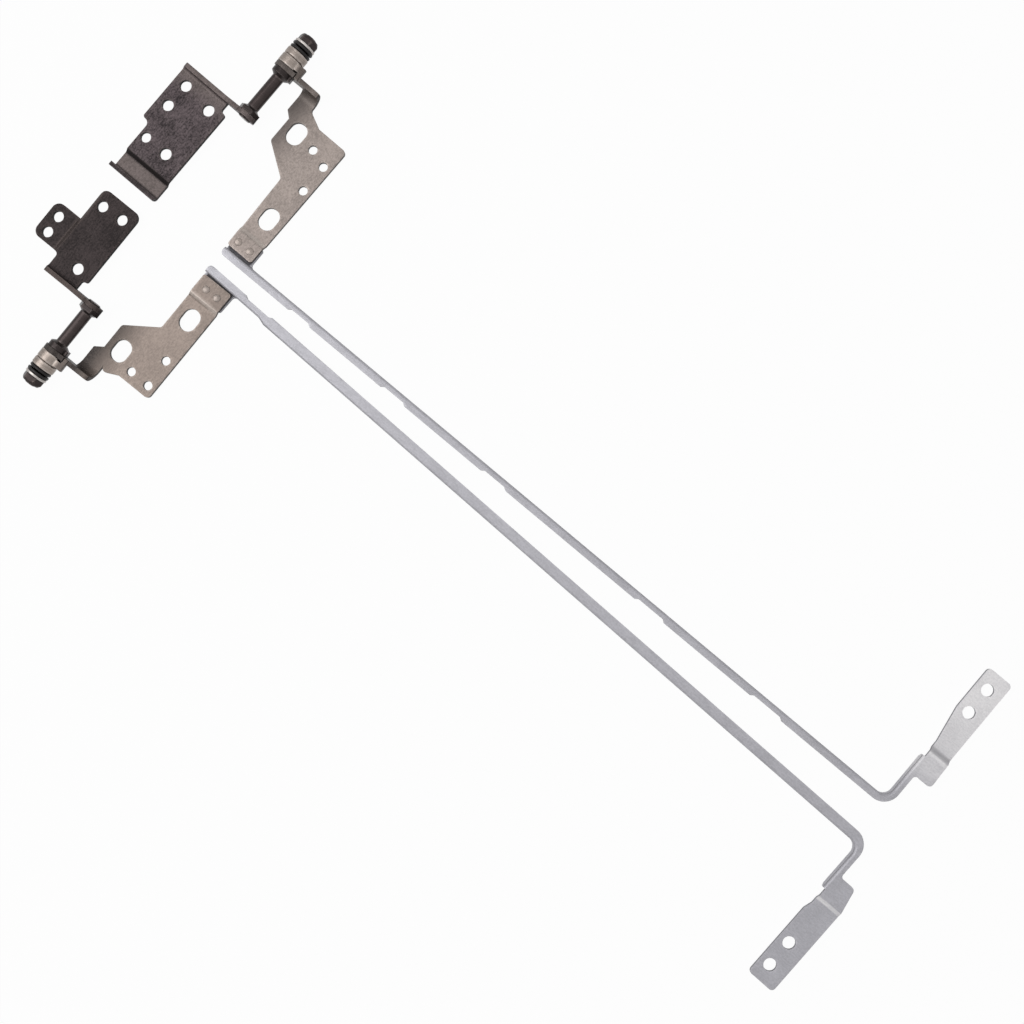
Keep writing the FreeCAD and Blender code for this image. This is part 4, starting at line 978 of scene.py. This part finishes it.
for side in SIDES:
    node = side + "_strap_rivets"
    low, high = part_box(node)
    points = [vert.co for vert in frame["nodes"][node].data.vertices]
    heads = [point for point in points if point.z > RIVET_SEAT + SKIN]
    middle = (low.x + high.x) / 2.0
    first = [point for point in heads if point.x < middle]
    second = [point for point in heads if point.x >= middle]
    centres = [sum(head, Vector()) / len(head) for head in (first, second)]
    seat = Vector((centres[0].x, centres[0].y, RIVET_SEAT))
    step = centres[1] - centres[0]
    sizes = {"Head Radius": HEAD_RADIUS, "Head Height": high.z - RIVET_SEAT,
             "Shank Radius": SHANK_RADIUS, "Shank Length": RIVET_SEAT - low.z,
             "Pitch": (step.x, step.y, 0.0)}
    settle(rivets.cook(node + "_domed", sizes, Matrix.Translation(seat)), node)

# %% [markdown]
# ### Disc springs
# Two dished washers of black spring steel press the rings together. A thin rounded bar swept round
# a circle makes one, and the second is turned over so that the pair gapes at the rim. A spun
# profile would give the same ring, but a swept bar keeps its thickness and its dish as two sizes.

# %% Spring recipe
EDGE_SHARE = 0.35  # of the sheet's thickness, the rounding of its edges

springs = Recipe("disc_springs", (
    ("Rim Radius", "Float"), ("Bore Radius", "Float"), ("Sheet", "Float"), ("Dish", "Float"),
    ("Pitch", "Float")))
rim_radius, bore_radius = springs.size("Rim Radius"), springs.size("Bore Radius")
sheet = springs.size("Sheet")
breadth = rim_radius - bore_radius
path = springs.add("GeometryNodeCurvePrimitiveCircle", {"mode": "RADIUS"}, {
    "Resolution": 72, "Radius": (rim_radius + bore_radius) * 0.5})
bar = springs.add("GeometryNodeCurvePrimitiveQuadrilateral", {"mode": "RECTANGLE"}, {
    "Width": breadth, "Height": sheet})
rounded = springs.add("GeometryNodeFilletCurve", {"mode": "POLY"}, {
    "Curve": bar, "Count": 3, "Radius": sheet * EDGE_SHARE})
tilt = springs.add("ShaderNodeCombineXYZ", {}, {"Z": springs.size("Dish") / breadth})
dished = springs.add("GeometryNodeTransform", {}, {"Geometry": rounded, "Rotation": tilt})
ring = springs.add("GeometryNodeCurveToMesh", {}, {"Curve": path, "Profile Curve": dished})
apart = springs.add("ShaderNodeCombineXYZ", {}, {"Z": springs.size("Pitch")})
seats = springs.add("GeometryNodeMeshLine", {}, {"Count": 2, "Offset": apart})
number = springs.add("GeometryNodeInputIndex", {}, {})
over = springs.add("ShaderNodeCombineXYZ", {}, {"X": number * math.pi})
row = springs.add("GeometryNodeInstanceOnPoints", {}, {
    "Points": seats, "Instance": ring, "Rotation": over})
springs.close(row, spring_black)
print("spring recipe nodes:", springs.count)

# %% [markdown]
# ### Springs on their shafts
# A spring pair fills the room that its solids take on the shaft. Typed sizes would do too, but
# measured along the hinge axis they follow when the stack gets longer or thicker.

# %% Springs on their shafts
RIM_ROOM = 0.03 * MM
SHEET_SHARE, DISH_SHARE = 0.78, 0.16  # of the room that one spring has


def on_axis(side, at):
    """A frame whose Z runs along a hinge axis, at a distance from the hinge's own point."""
    axis = Vector(HINGES[side]["axis"])
    place = Vector(HINGES[side]["pos_m"]) + axis * at
    return Matrix.Translation(place) @ axis.to_track_quat("Z", "Y").to_matrix().to_4x4()


def reach_on_axis(side, node):
    """Where a CAD piece starts and ends on its hinge axis, its smallest and largest radius."""
    axis, origin = Vector(HINGES[side]["axis"]), Vector(HINGES[side]["pos_m"])
    points = [vert.co for vert in frame["nodes"][node].data.vertices]
    steps = [(point - origin).dot(axis) for point in points]
    radii = [off_axis(side, point) for point in points]
    return min(steps), max(steps), min(radii), max(radii)


for side in SIDES:
    node = side + "_disc_springs"
    start, end, bore, rim = reach_on_axis(side, node)
    pitch = (end - start) / 2.0
    sizes = {"Rim Radius": rim - RIM_ROOM, "Bore Radius": bore, "Sheet": pitch * SHEET_SHARE,
             "Dish": pitch * DISH_SHARE, "Pitch": pitch}
    place = on_axis(side, start + pitch / 2.0)
    settle(springs.cook(node + "_dished", sizes, place), node)

# %% [markdown]
# ## Size
# Rounding and doming must not make the pair any larger than its solids. A look at the picture can't
# tell that.

bpy.context.view_layer.update()
